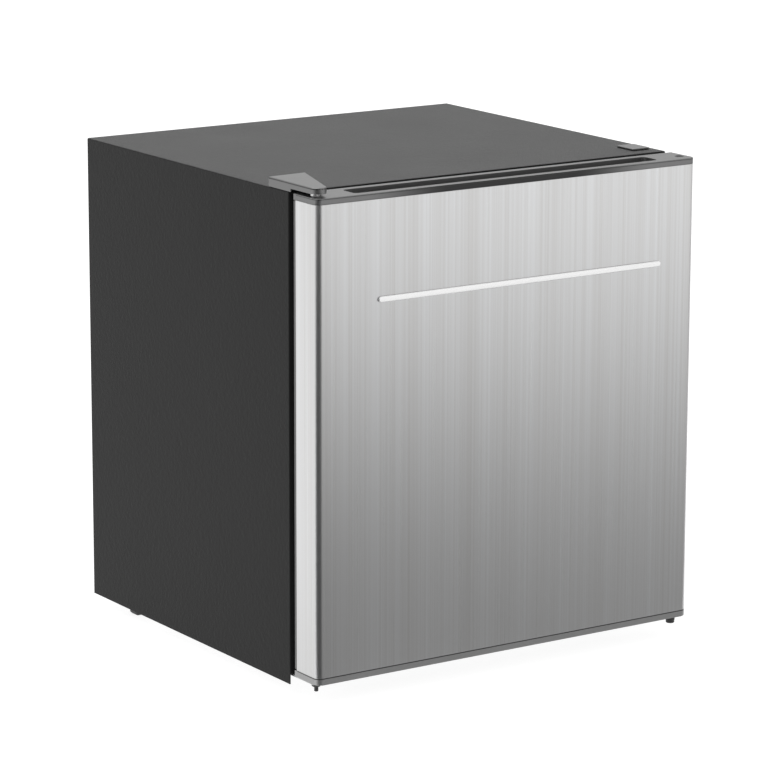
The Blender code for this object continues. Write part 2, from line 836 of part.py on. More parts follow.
def make_tubes():
    side = 0.205
    rear = behind(CONDENSER_DEPTH)
    coil_end = CONDENSER_HALF - 0.015 + GAP
    top = CONDENSER_BOTTOM + CONDENSER_PITCH * (CONDENSER_RUNS - 1)
    middle = behind(COMPRESSOR_DEPTH)
    leaving_right = [
        (-0.0020, middle + 0.030, 0.115),
        (side, middle + 0.030, 0.115),
        (side, rear, 0.115),
        (side, rear, top),
        (coil_end, rear, top),
    ]
    tube("discharge_tube", filleted(leaving_right, 0.012, 4), TUBE_RADIUS, copper(), 1)
    leaving_left = [
        (-0.1295, middle, 0.112),
        (-0.165, middle, 0.112),
        (-0.165, middle + 0.040, 0.112),
        (-0.165, middle + 0.040, BAY_ROOF - GAP),
    ]
    tube("suction_tube", filleted(leaving_left, 0.012, 4), 0.0032, copper(), 1)
    drier_x = 0.188
    drier_y = behind(0.3965)
    thin = [
        (drier_x, drier_y, 0.0915),
        (drier_x, drier_y, 0.070),
        (drier_x, behind(0.370), 0.070),
        (0.120, behind(0.370), 0.070),
        (0.120, behind(0.370), BAY_ROOF - GAP),
    ]
    tube("capillary_tube", filleted(thin, 0.010, 4), 0.0011, copper(), 1)


def make_cord_inlet():
    profile = [
        (0.0032, 0.0110),
        (0.0060, 0.0110),
        (0.0065, 0.0030),
        (0.0100, 0.0028),
        (0.0100, GAP),
        (0.0020, GAP),
        (0.0032, 0.0030),
    ]
    place = (-0.185, behind(CABINET_DEPTH), 0.220)
    inlet = solid("cord_inlet", turned(profile, 16, ring=True), black_plastic(), (-math.pi / 2, 0, 0), place)
    smooth(inlet)


# ---- freezer box, thermostat, shelf --------------------------------------------------------
def make_evaporator():
    sheet = 0.0016
    top = STORAGE_TOP - GAP
    rear = behind(0.336)
    outer = block((FREEZER_LEFT, behind(FREEZER_FRONT), FREEZER_BOTTOM), (FREEZER_RIGHT, rear, top))
    evaporator = solid("evaporator", outer, aluminium())
    hollow = block(
        (FREEZER_LEFT + sheet, behind(FREEZER_FRONT - 0.02), FREEZER_BOTTOM + sheet),
        (FREEZER_RIGHT - sheet, rear - sheet, top - sheet),
    )
    cut(evaporator, solid("evaporator_hollow", hollow))


def make_freezer_frame():
    low = (FREEZER_LEFT - 0.006, behind(0.105), FREEZER_BOTTOM - 0.006)
    high = (FREEZER_RIGHT + 0.006, behind(FREEZER_FRONT) - GAP, STORAGE_TOP - GAP)
    frame = solid("freezer_frame", block(low, high), white_plastic())
    for hand, side, edge in (("left", -1, low[0]), ("right", 1, high[0])):
        inner = edge
        outer = edge + side * 0.005
        ear_low = (min(inner - side * 0.0002, outer), behind(0.096), FLAP_AXIS_Z - 0.006)
        ear_high = (max(inner - side * 0.0002, outer), behind(0.110), STORAGE_TOP - GAP)
        join(frame, solid(f"frame_ear_{hand}", block(ear_low, ear_high)))
    window = block(
        (FREEZER_LEFT + 0.009, behind(0.09), FREEZER_BOTTOM + 0.009),
        (FREEZER_RIGHT - 0.009, behind(0.13), STORAGE_TOP - 0.013),
    )
    middle = ((FREEZER_LEFT + FREEZER_RIGHT) / 2, behind(FLAP_AXIS_DEPTH), FLAP_AXIS_Z)
    pin_way = turned([(0.0028, -0.145), (0.0028, 0.145)], 12)
    ear_bore = solid("frame_ear_bore", pin_way, None, (0, math.pi / 2, 0), middle)
    cut(frame, solid("frame_window", window), ear_bore)


def make_freezer_flap():
    half = (FREEZER_RIGHT - FREEZER_LEFT) / 2 + 0.005
    centre = (FREEZER_RIGHT + FREEZER_LEFT) / 2
    bottom = FLAP_AXIS_Z - 0.087
    axis_y = behind(FLAP_AXIS_DEPTH)
    thick = 0.006
    low = (centre - half, axis_y - thick / 2, bottom)
    high = (centre + half, axis_y + thick / 2, FLAP_AXIS_Z + 0.002)
    flap = solid("freezer_flap", soften(block(low, high), 0.001, 1), clear_plastic())
    grip_half = 0.060
    grip = block(
        (centre - grip_half, axis_y - thick * 1.5, bottom + 0.0005),
        (centre + grip_half, axis_y, bottom + 0.005),
    )
    pins = turned([(0.0024, -half - 0.005), (0.0024, half + 0.005)], 12)
    middle = (centre, axis_y, FLAP_AXIS_Z)
    pin_bar = solid("flap_pins", pins, None, (0, math.pi / 2, 0), middle)
    join(flap, solid("flap_grip", grip), pin_bar)
    hang(joint_axis("freezer_flap_axis", middle), flap)


def make_drip_tray():
    rim_half = STORAGE_HALF - 0.0007
    half = 0.1753
    top = DRIP_TRAY_BOTTOM + DRIP_TRAY_HEIGHT
    front = behind(DRIP_TRAY_FRONT)
    rear = behind(0.330)
    wall = 0.002
    outer = block((-half, front, DRIP_TRAY_BOTTOM), (half, rear, top))
    tray = solid("drip_tray", outer, clear_plastic())
    rim = block((-rim_half, front - 2 * wall, top - wall), (rim_half, rear - wall, top + 0.0002))
    hollow = block(
        (-half + wall, front + wall, DRIP_TRAY_BOTTOM + wall),
        (half - wall, rear - wall, top + 0.02),
    )
    join(tray, solid("tray_rim", rim))
    cut(tray, solid("tray_hollow", hollow))
    hang(joint_axis("drip_tray_axis", (0, front, DRIP_TRAY_BOTTOM)), tray)


def make_thermostat():
    shape = block((0.104, behind(0.125), 0.372), (0.1755, behind(0.235), STORAGE_TOP - GAP))
    soften(shape, 0.005, 2, lambda middle: middle.y < behind(0.2))
    housing = solid("thermostat_housing", shape, white_plastic())
    centre = (KNOB_X, behind(KNOB_DEPTH), KNOB_Z)
    face_forward = (math.pi / 2, 0, 0)
    socket = turned([(0.0034, -0.0150), (0.0034, 0.0100)], 12)
    cut(housing, solid("knob_socket", socket, None, face_forward, centre))
    profile = [
        (0.0030, -0.0120),
        (0.0030, -0.0001),
        (0.0190, 0.0000),
        (0.0190, 0.0030),
        (0.0145, 0.0045),
        (0.0135, 0.0090),
    ]
    knob = smooth(solid("thermostat_knob", turned(profile, 24), white_plastic(), face_forward, centre))
    bar_half = 0.0035
    bar = block(
        (KNOB_X - bar_half, centre[1] - 0.0150, KNOB_Z - 0.0120),
        (KNOB_X + bar_half, centre[1] - 0.0060, KNOB_Z + 0.0140),
    )
    join(knob, solid("knob_bar", bar))
    hang(joint_axis("thermostat_knob_axis", centre), knob)
    bulb_x = 0.0975
    bulb_z = 0.400
    bulb_front = behind(0.145)
    route = [(0.1037, bulb_front, bulb_z), (bulb_x, bulb_front, bulb_z), (bulb_x, behind(0.260), bulb_z)]
    tube("thermostat_bulb", filleted(route, 0.004, 3), 0.0015, copper(), 1)


def make_shelf():
    half = STORAGE_HALF - 0.0007
    glass_top = SHELF_Z + SHELF_THICKNESS
    front = behind(SHELF_FRONT)
    trim_rear = front + 0.0077
    pane = block((-half, trim_rear + GAP, SHELF_Z), (half, behind(0.334), glass_top))
    pane_object = solid("shelf_glass", pane, glass())
    outline = [
        (front, SHELF_Z),
        (trim_rear, SHELF_Z),
        (trim_rear, glass_top + GAP),
        (trim_rear + 0.008, glass_top + GAP),
        (trim_rear + 0.008, glass_top + 0.0022),
        (front + 0.004, glass_top + 0.0032),
        (front, glass_top + 0.0015),
    ]
    trim = solid("shelf_front_trim", prism(outline, "X", -half, half), white_plastic())
    hang(joint_axis("shelf_axis", (0, front, SHELF_Z)), pane_object, trim)


# ---- door ----------------------------------------------------------------------------------
def door_outline(inset, rear, corner=DOOR_CORNER):
    # plan of the door: straight rear, rounded front corners
    half = HALF - inset
    front = behind(DOOR_FRONT) + inset
    radius = corner - inset
    left = arc((-half + radius, front + radius), radius, 180, 270, 5)
    right = arc((half - radius, front + radius), radius, 270, 360, 5)
    return [(-half, rear), *left, *right, (half, rear)]


def make_door_skin():
    outer = door_outline(0.0, behind(DOOR_REAR))
    inner = door_outline(DOOR_SHEET, behind(DOOR_REAR))
    shape = prism(outer + inner[::-1], "Z", SKIN_BOTTOM, SKIN_TOP)
    return smooth(solid("door_skin", shape, stainless()))


def make_door_foam():
    outline = door_outline(DOOR_SHEET + GAP, behind(DOOR_REAR) - GAP)
    return solid("door_foam", prism(outline, "Z", 0.0453, 0.4697), foam())


def make_door_liner():
    half = HALF - 0.0006
    low = (-half, behind(DOOR_REAR), SKIN_BOTTOM + GAP)
    high = (half, behind(LINER_REAR), SKIN_TOP - GAP)
    liner = solid("door_liner", block(low, high), white_plastic())
    dike = block((-0.180, behind(-0.009), 0.062), (0.180, behind(0.008), 0.448))
    soften(dike, 0.004, 2, lambda middle: middle.y > behind(0))
    pocket = block((-0.160, behind(-0.0095), 0.080), (0.160, behind(0.03), 0.430))
    join(liner, solid("liner_dike", dike))
    cut(liner, solid("liner_pocket", soften(pocket, 0.004, 2)))
    return liner


def make_door_gasket():
    low = (-0.209, 0.033)
    high = (0.209, 0.481)
    width = 0.015
    rear = behind(0) - GAP
    front = behind(LINER_REAR) + GAP
    ring = solid("door_gasket", block((low[0], front, low[1]), (high[0], rear, high[1])), seal_rubber())
    hole = block(
        (low[0] + width, front - 0.01, low[1] + width),
        (high[0] - width, rear + 0.01, high[1] - width),
    )
    return cut(ring, solid("gasket_hole", hole))


def pin_holes(name, low, high):
    places = (("left", HINGE_X), ("right", -HINGE_X))
    return [drill(f"{name}_{hand}", (x, HINGE_DEPTH), PIN_HOLE, low, high, 16) for hand, x in places]


def make_door_top_cap():
    lip = prism(door_outline(0.0, behind(CAP_REAR)), "Z", SKIN_TOP + GAP, CABINET_TOP)
    soften(lip, 0.0006, 2, lambda middle: middle.z > CABINET_TOP - 0.0005)
    cap = smooth(solid("door_top_cap", lip, grey_plastic()))
    plug = prism(door_outline(DOOR_SHEET + GAP, behind(DOOR_REAR) - GAP), "Z", 0.470, SKIN_TOP + 0.003)
    join(cap, solid("top_cap_plug", plug))
    groove = rounded_rectangle((-0.1745, behind(-0.0400)), (0.1825, behind(-0.0170)), 0.0045)
    cut(cap, solid("grip_groove", prism(groove, "Z", 0.4780, CABINET_TOP + 0.01)))
    return cut(cap, *pin_holes("top_cap_pin_hole", 0.4760, CABINET_TOP + 0.01))


def make_door_bottom_cap():
    lip = prism(door_outline(0.0, behind(CAP_REAR)), "Z", CAP_BOTTOM, SKIN_BOTTOM - GAP)
    soften(lip, 0.0006, 2, lambda middle: middle.z < CAP_BOTTOM + 0.0005)
    cap = smooth(solid("door_bottom_cap", lip, grey_plastic()))
    plug = prism(door_outline(DOOR_SHEET + GAP, behind(DOOR_REAR) - GAP), "Z", SKIN_BOTTOM - 0.003, 0.045)
    join(cap, solid("bottom_cap_plug", plug))
    # the spare hinge place on the right is a closed bush that stands out below the cap
    bush = turned([(0.0038, STUB_LOW), (0.0042, STUB_LOW + 0.0004), (0.0042, CAP_BOTTOM + 0.003)], 16)
    join(cap, solid("spare_bush", bush, at=(-HINGE_X, behind(HINGE_DEPTH), 0)))
    place = (HINGE_X, HINGE_DEPTH)
    return cut(cap, drill("bottom_cap_pin_hole", place, PIN_HOLE, CAP_BOTTOM - 0.01, 0.0400))


def make_door_trim_strip():
    low_x, high_x = -0.154, 0.180
    z, half = 0.391, 0.0029
    outline = arc((high_x - half, z), half, -90, 90, 6) + arc((low_x + half, z), half, 90, 270, 6)
    front = behind(-TRIM_PROUD)
    shape = prism(outline, "Y", front, behind(DOOR_FRONT) - GAP)
    soften(shape, 0.0006, 2, lambda middle: middle.y < front + 0.0002)
    return smooth(solid("door_trim_strip", shape, chrome()))


def make_door_rack(name, bottom, top, rear, sill, rail):
    # an open bin; the front has a sill below and a rail above with a gap between
    half = 0.158
    wall = 0.0025
    front = behind(-0.0054)
    outer = block((-half, front, bottom), (half, behind(rear), top))
    rack = solid(name, soften(outer, 0.003, 1, lambda middle: middle.y > behind(0.03)), clear_plastic())
    hollow = block(
        (-half + wall, front + wall, bottom + wall),
        (half - wall, behind(rear) - wall, top + 0.02),
    )
    gap = block((-half + 0.010, behind(rear) - 0.02, sill), (half - 0.010, behind(rear) + 0.02, rail))
    return cut(rack, solid(name + "_hollow", hollow), solid(name + "_gap", gap))


def make_door():
    pieces = [
        make_door_skin(),
        make_door_foam(),
        make_door_liner(),
        make_door_gasket(),
        make_door_top_cap(),
        make_door_bottom_cap(),
        make_door_trim_strip(),
        make_door_rack("upper_door_rack", 0.245, 0.318, 0.072, 0.274, 0.304),
        make_door_rack("lower_door_rack", 0.084, 0.200, 0.075, 0.124, 0.184),
    ]
    hang(joint_axis("door_hinge_axis", (HINGE_X, behind(HINGE_DEPTH), 0)), *pieces)


def make_fridge():
    clear_scene()
    make_cabinet_shell()
    make_cabinet_foam()
    make_inner_liner()
    make_front_rail()
    make_base_panel()
    make_back_panel()
    make_top_hinge_bracket()
    make_top_hinge_pin()
    make_top_hinge_screws()
    make_top_hinge_cover()
    make_hinge_hole_plate()
    make_bottom_hinge_bracket()
    make_bottom_hinge_pin()
    make_bottom_hinge_screws()
    make_front_feet()
    make_rear_feet()
    make_compressor_tray()
    make_compressor()
    make_compressor_mounts()
    make_relay_cover()
    make_condenser()
    make_condenser_screen("condenser_screen_inner", CONDENSER_DEPTH - TUBE_RADIUS - GAP - 0.0014)
    make_condenser_screen("condenser_screen_outer", CONDENSER_DEPTH + TUBE_RADIUS + GAP)
    make_condenser_brackets()
    make_filter_drier()
    make_tubes()
    make_cord_inlet()
    make_evaporator()
    make_freezer_frame()
    make_freezer_flap()
    make_drip_tray()
    make_thermostat()
    make_shelf()
    make_door()


make_fridge()
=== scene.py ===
import json
import math

import bmesh
import bpy
from mathutils import Matrix, Vector


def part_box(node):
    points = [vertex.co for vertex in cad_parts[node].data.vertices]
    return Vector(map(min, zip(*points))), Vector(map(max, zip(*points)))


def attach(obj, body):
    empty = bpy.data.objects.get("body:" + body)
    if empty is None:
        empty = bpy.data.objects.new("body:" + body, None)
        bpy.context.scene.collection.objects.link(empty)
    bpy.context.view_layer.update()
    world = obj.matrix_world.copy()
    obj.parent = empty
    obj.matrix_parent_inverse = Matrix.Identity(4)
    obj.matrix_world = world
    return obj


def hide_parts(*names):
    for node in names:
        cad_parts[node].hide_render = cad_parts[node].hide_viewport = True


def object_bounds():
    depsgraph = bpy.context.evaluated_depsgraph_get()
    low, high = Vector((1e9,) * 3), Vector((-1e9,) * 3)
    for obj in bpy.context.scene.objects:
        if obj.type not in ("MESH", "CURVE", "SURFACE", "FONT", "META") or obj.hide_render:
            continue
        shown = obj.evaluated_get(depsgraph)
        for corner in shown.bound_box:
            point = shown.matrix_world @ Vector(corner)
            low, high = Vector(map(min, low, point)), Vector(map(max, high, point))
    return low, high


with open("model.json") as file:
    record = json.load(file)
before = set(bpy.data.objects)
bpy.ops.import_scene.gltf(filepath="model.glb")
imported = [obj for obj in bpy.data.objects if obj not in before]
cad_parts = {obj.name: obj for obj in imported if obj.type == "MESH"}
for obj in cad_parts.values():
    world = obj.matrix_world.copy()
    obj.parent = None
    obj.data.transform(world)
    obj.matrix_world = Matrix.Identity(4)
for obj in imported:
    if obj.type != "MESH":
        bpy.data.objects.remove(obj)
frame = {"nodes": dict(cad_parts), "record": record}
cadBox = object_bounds()
nodes = frame["nodes"]
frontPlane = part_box("inner_liner")[0].y  # the cabinet's front frame
print("frame loaded:", len(nodes), "nodes")


# small helpers that every part below uses
def linked(name, data):
    made = bpy.data.objects.new(name, data)
    bpy.context.scene.collection.objects.link(made)
    return made


def middleOf(node):
    low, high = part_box(node)
    return (low + high) / 2


def circle(radius, sides, centre=(0.0, 0.0)):
    spots = []
    for k in range(sides):
        angle = 2 * math.pi * k / sides
        spots.append((centre[0] + radius * math.cos(angle), centre[1] + radius * math.sin(angle)))
    return spots


def turnTo(axis):
    return Vector((0, 0, 1)).rotation_difference(Vector(axis)).to_matrix()


def grey(level, warm=0.0):
    return (level * (1 + warm), level, level * (1 - warm), 1.0)


def newMaterial(name, metallic=0.0, specular=0.5):
    material = bpy.data.materials.new(name)
    material.use_nodes = True
    shader = material.node_tree.nodes["Principled BSDF"]
    shader.inputs["Metallic"].default_value = metallic
    shader.inputs["Specular IOR Level"].default_value = specular
    return material, material.node_tree, shader


def objectPlace(tree):
    return tree.nodes.new("ShaderNodeTexCoord").outputs["Object"]


def splitPlace(tree):
    split = tree.nodes.new("ShaderNodeSeparateXYZ")
    tree.links.new(objectPlace(tree), split.inputs[0])
    return split.outputs


def maths(tree, operation, first, second):
    node = tree.nodes.new("ShaderNodeMath")
    node.operation = operation
    for socket, value in zip(node.inputs, (first, second)):
        if isinstance(value, (int, float)):
            socket.default_value = value
        else:
            tree.links.new(value, socket)
    return node.outputs[0]


def mapRange(tree, value, fromEnds, toEnds=(0.0, 1.0), smooth=False):
    node = tree.nodes.new("ShaderNodeMapRange")
    if smooth:
        node.interpolation_type = "SMOOTHSTEP"
    labels = ("From Min", "From Max", "To Min", "To Max")
    for label, number in zip(labels, (*fromEnds, *toEnds)):
        node.inputs[label].default_value = number
    tree.links.new(value, node.inputs["Value"])
    return node.outputs["Result"]


# studio: camera, lights, floor
studio = {
    "cameraPlace": (-2.0698, -3.1222, 1.0919),
    "cameraTurn": 33.603,  # degrees to the right of straight ahead
    "cameraTilt": 12.703,  # degrees down
    "cameraRoll": 0.129,
    "lens": 176.36,
    "skyStrength": 0.92,
    "floorSize": 40.0,
    "floorTone": 0.30,
    "floorGlow": 0.86,
    # place, what it points at, size and power
    "softboxes": {
        "topSoftbox": ((-0.6, 0.9, 3.2), (0, 0, 0.4), (2.6, 2.6), 40),
        "backSoftbox": ((2.6, 3.8, 2.5), (0, 0, 0.45), (2.5, 1.2), 15.5),
    },
}


def makeCamera():
    data = bpy.data.cameras.new("studioCamera")
    data.sensor_width = 36.0
    data.lens = studio["lens"]
    data.clip_end = 200.0
    camera = linked("studioCamera", data)
    turn = Matrix.Rotation(math.radians(-studio["cameraTurn"]), 4, "Z")
    tilt = Matrix.Rotation(math.radians(90 - studio["cameraTilt"]), 4, "X")
    roll = Matrix.Rotation(math.radians(studio["cameraRoll"]), 4, "Z")
    camera.matrix_world = Matrix.Translation(studio["cameraPlace"]) @ turn @ tilt @ roll
    bpy.context.scene.camera = camera


def makeSoftbox(name, place, target, size, power):
    data = bpy.data.lights.new(name, "AREA")
    data.shape = "RECTANGLE"
    data.size, data.size_y = size
    data.energy = power
    lamp = linked(name, data)
    lamp.location = place
    aim = Vector(target) - Vector(place)
    lamp.rotation_euler = aim.to_track_quat("-Z", "Y").to_euler()


def makeSky():
    world = bpy.data.worlds.new("studioSky")
    world.use_nodes = True
    background = world.node_tree.nodes["Background"]
    background.inputs["Color"].default_value = grey(1.0)
    background.inputs["Strength"].default_value = studio["skyStrength"]
    bpy.context.scene.world = world
    bpy.context.scene.view_settings.view_transform = "Standard"


def planeMesh(name, low, high, height):
    mesh = bpy.data.meshes.new(name)
    corners = [(low[0], low[1]), (high[0], low[1]), (high[0], high[1]), (low[0], high[1])]
    mesh.from_pydata([(x, y, height) for x, y in corners], [], [(0, 1, 2, 3)])
    return linked(name, mesh)


def makeFloor():
    half = studio["floorSize"] / 2
    floor = planeMesh("studioFloor", (-half, -half), (half, half), 0.0)
    material, tree, shader = newMaterial("paleFloor", specular=0.0)
    shader.inputs["Base Color"].default_value = grey(studio["floorTone"])
    shader.inputs["Roughness"].default_value = 0.9
    shader.inputs["Emission Color"].default_value = grey(1.0)
    shader.inputs["Emission Strength"].default_value = studio["floorGlow"]
    floor.data.materials.append(material)


reflector = {
    "start": 0.02,  # clear of the door's foot
    "reach": 4.0,
    "height": 0.002,
    "nearGlow": 0.395,
    "farGlow": 1.10,
    "fadeLength": 2.4,
    "cornerGlow": 0.05,
    "shareEnds": (0.1, 0.9),
    "leftShare": 0.86,
    "rightShare": 1.17,
    "wedgeTip": 0.05,
    "wedgeStart": 0.12,
    "wedgeEnd": 0.34,
    "darkPlace": (-2.2, -2.9, 0.0),
    "darkSize": (2.8, 1.6),
    "darkTone": 0.02,
}


def stageCard(card, material):
    # only reflections show the card
    card.data.materials.append(material)
    card.visible_camera = False
    card.visible_diffuse = False
    card.visible_transmission = False
    card.visible_shadow = False


def makeReflector():
    # a graded card, dark by the door and paler further off
    reach = reflector["reach"]
    edge = cadBox[0].y - reflector["start"]
    card = planeMesh("gradedCard", (-reach, edge - reach), (reach, edge), reflector["height"])
    material = bpy.data.materials.new("gradedCard")
    material.use_nodes = True
    tree = material.node_tree
    tree.nodes.clear()
    split = splitPlace(tree)
    glows = (reflector["nearGlow"], reflector["farGlow"])
    fade = mapRange(tree, split["Y"], (edge, edge - reflector["fadeLength"]), glows, True)
    shares = (reflector["leftShare"], reflector["rightShare"])
    along = mapRange(tree, split["X"], reflector["shareEnds"], shares)
    level = maths(tree, "MULTIPLY", fade, along)
    # the wedge beside the door's left edge stays dark
    beside = maths(tree, "SUBTRACT", split["X"], cadBox[0].x)
    ahead = maths(tree, "SUBTRACT", cadBox[0].y + reflector["wedgeTip"], split["Y"])
    slope = maths(tree, "DIVIDE", beside, ahead)
    corner = mapRange(tree, slope, (reflector["wedgeEnd"], reflector["wedgeStart"]))
    both = tree.nodes.new("ShaderNodeMix")
    tree.links.new(corner, both.inputs["Factor"])
    tree.links.new(level, both.inputs["A"])
    both.inputs["B"].default_value = reflector["cornerGlow"]
    glow = tree.nodes.new("ShaderNodeEmission")
    tree.links.new(both.outputs["Result"], glow.inputs["Strength"])
    out = tree.nodes.new("ShaderNodeOutputMaterial")
    tree.links.new(glow.outputs[0], out.inputs["Surface"])
    stageCard(card, material)


def makeDarkCard():
    # an upright dark card towards the left front, for the rounded shiny corners
    place = Vector(reflector["darkPlace"])
    wide, tall = reflector["darkSize"]
    along = Vector((place.y, -place.x, 0)).normalized() * wide / 2
    mesh = bpy.data.meshes.new("darkCard")
    corners = [place - along, place + along]
    spots = [(c.x, c.y, z) for c, z in zip(corners * 2, (0.0, 0.0, tall, tall))]
    mesh.from_pydata(spots, [], [(0, 1, 3, 2)])
    material, tree, shader = newMaterial("darkCard")
    shader.inputs["Base Color"].default_value = grey(reflector["darkTone"])
    shader.inputs["Roughness"].default_value = 0.9
    stageCard(linked("darkCard", mesh), material)


makeCamera()
makeSky()
for name, values in studio["softboxes"].items():
    makeSoftbox(name, *values)
makeFloor()
makeReflector()
makeDarkCard()
print("studio ready")


# shader groups
def newGroup(name, inputs, outputs):
    group = bpy.data.node_groups.new(name, "ShaderNodeTree")
    for label, kind, value in inputs:
        socket = group.interface.new_socket(name=label, in_out="INPUT", socket_type=kind)
        socket.default_value = value
    for label, kind in outputs:
        group.interface.new_socket(name=label, in_out="OUTPUT", socket_type=kind)
    return group, group.nodes.new("NodeGroupInput"), group.nodes.new("NodeGroupOutput")


def noiseAt(tree, place, scale, detail=2.0):
    node = tree.nodes.new("ShaderNodeTexNoise")
    node.inputs["Detail"].default_value = detail
    tree.links.new(place, node.inputs["Vector"])
    if isinstance(scale, (int, float)):
        node.inputs["Scale"].default_value = scale
    else:
        tree.links.new(scale, node.inputs["Scale"])
    return node.outputs["Fac"]


def mixColour(tree, share, first, second):
    node = tree.nodes.new("ShaderNodeMix")
    node.data_type = "RGBA"
    tree.links.new(share, node.inputs["Factor"])
    for socket, value in ((node.inputs[6], first), (node.inputs[7], second)):
        if isinstance(value, tuple):
            socket.default_value = value
        else:
            tree.links.new(value, socket)
    return node.outputs[2]


def makeGrainGroup():
    # fine moulded or stippled grain, as a height
    group, start, end = newGroup(
        "surfaceGrain",
        [("Grains per metre", "NodeSocketFloat", 900.0), ("Coarse share", "NodeSocketFloat", 0.3)],
        [("Height", "NodeSocketFloat")],
    )
    place = objectPlace(group)
    grains, share = start.outputs["Grains per metre"], start.outputs["Coarse share"]
    fine = noiseAt(group, place, grains, 3.0)
    coarse = noiseAt(group, place, maths(group, "MULTIPLY", grains, 0.35), 1.0)
    fineShare = maths(group, "SUBTRACT", 1.0, share)
    coarsePart = maths(group, "MULTIPLY", coarse, share)
    finePart = maths(group, "MULTIPLY", fine, fineShare)
    group.links.new(maths(group, "ADD", coarsePart, finePart), end.inputs["Height"])
    return group


def makePatchGroup():
    # slow drift of colour and gloss over a surface, from handling and wiping
    group, start, end = newGroup(
        "handledFinish",
        [
            ("Colour", "NodeSocketColor", (0.5, 0.5, 0.5, 1.0)),
            ("Worn colour", "NodeSocketColor", (0.6, 0.6, 0.6, 1.0)),
            ("Roughness", "NodeSocketFloat", 0.4),
            ("Roughness drift", "NodeSocketFloat", 0.1),
            ("Patches per metre", "NodeSocketFloat", 14.0),
        ],
        [("Colour", "NodeSocketColor"), ("Roughness", "NodeSocketFloat")],
    )
    place = objectPlace(group)
    patch = noiseAt(group, place, start.outputs["Patches per metre"], 4.0)
    group.links.new(
        mixColour(group, patch, start.outputs["Colour"], start.outputs["Worn colour"]),
        end.inputs["Colour"],
    )
    centred = maths(group, "SUBTRACT", patch, 0.5)
    drift = maths(group, "MULTIPLY", centred, start.outputs["Roughness drift"])
    group.links.new(maths(group, "ADD", drift, start.outputs["Roughness"]), end.inputs["Roughness"])
    return group


def makeBrushGroup():
    # hair lines running up the sheet: broad streaks for colour, fine lines for height
    group, start, end = newGroup(
        "brushedLines",
        [("Lines per metre", "NodeSocketFloat", 900.0), ("Lines along", "NodeSocketFloat", 2.0)],
        [(label, "NodeSocketFloat") for label in ("Fine", "Streaks", "Drift")],
    )
    split = splitPlace(group)
    across = maths(group, "ADD", split["X"], split["Y"])
    for label, acrossShare, alongShare, detail in (
        ("Fine", 1.0, 1.0, 2.0),
        ("Streaks", 0.28, 0.35, 3.0),
        ("Drift", 0.03, 0.2, 1.0),
    ):
        place = group.nodes.new("ShaderNodeCombineXYZ")
        wide = maths(group, "MULTIPLY", across, start.outputs["Lines per metre"])
        group.links.new(maths(group, "MULTIPLY", wide, acrossShare), place.inputs["X"])
        tall = maths(group, "MULTIPLY", split["Z"], start.outputs["Lines along"])
        group.links.new(maths(group, "MULTIPLY", tall, alongShare), place.inputs["Z"])
        group.links.new(noiseAt(group, place.outputs[0], 1.0, detail), end.inputs[label])
    return group


grainGroup = makeGrainGroup()
patchGroup = makePatchGroup()
brushGroup = makeBrushGroup()


def addGroup(tree, group, values):
    node = tree.nodes.new("ShaderNodeGroup")
    node.node_tree = group
    for label, value in values.items():
        node.inputs[label].default_value = value
    return node.outputs


def addPatches(tree, shader, values):
    patch = addGroup(tree, patchGroup, values)
    tree.links.new(patch["Colour"], shader.inputs["Base Color"])
    tree.links.new(patch["Roughness"], shader.inputs["Roughness"])


def addBump(tree, shader, height, strength, distance):
    bump = tree.nodes.new("ShaderNodeBump")
    bump.inputs["Strength"].default_value = strength
    bump.inputs["Distance"].default_value = distance
    tree.links.new(height, bump.inputs["Height"])
    tree.links.new(bump.outputs["Normal"], shader.inputs["Normal"])


def overlayColour(tree, shader, share, colour):
    # lays a colour over the base colour where share is 1
    plain = shader.inputs["Base Color"].links[0].from_socket
    tree.links.new(mixColour(tree, share, plain, colour), shader.inputs["Base Color"])


def handledMaterial(name, look):
    # most finishes: drifting colour and gloss over a fine grain
    look = {**plainLook, **look}
    material, tree, shader = newMaterial(name, look["metallic"], look["specular"])
    shader.inputs["Specular Tint"].default_value = grey(look["edge"])
    patch = {"Colour": look["colour"], "Worn colour": look["worn"], "Roughness": look["roughness"]}
    patch.update({"Roughness drift": look["drift"], "Patches per metre": look["patches"]})
    addPatches(tree, shader, patch)
    grain = {"Grains per metre": look["grains"], "Coarse share": look["coarse"]}
    height = addGroup(tree, grainGroup, grain)["Height"]
    addBump(tree, shader, height, look["bump"], look["depth"])
    return material, tree, shader


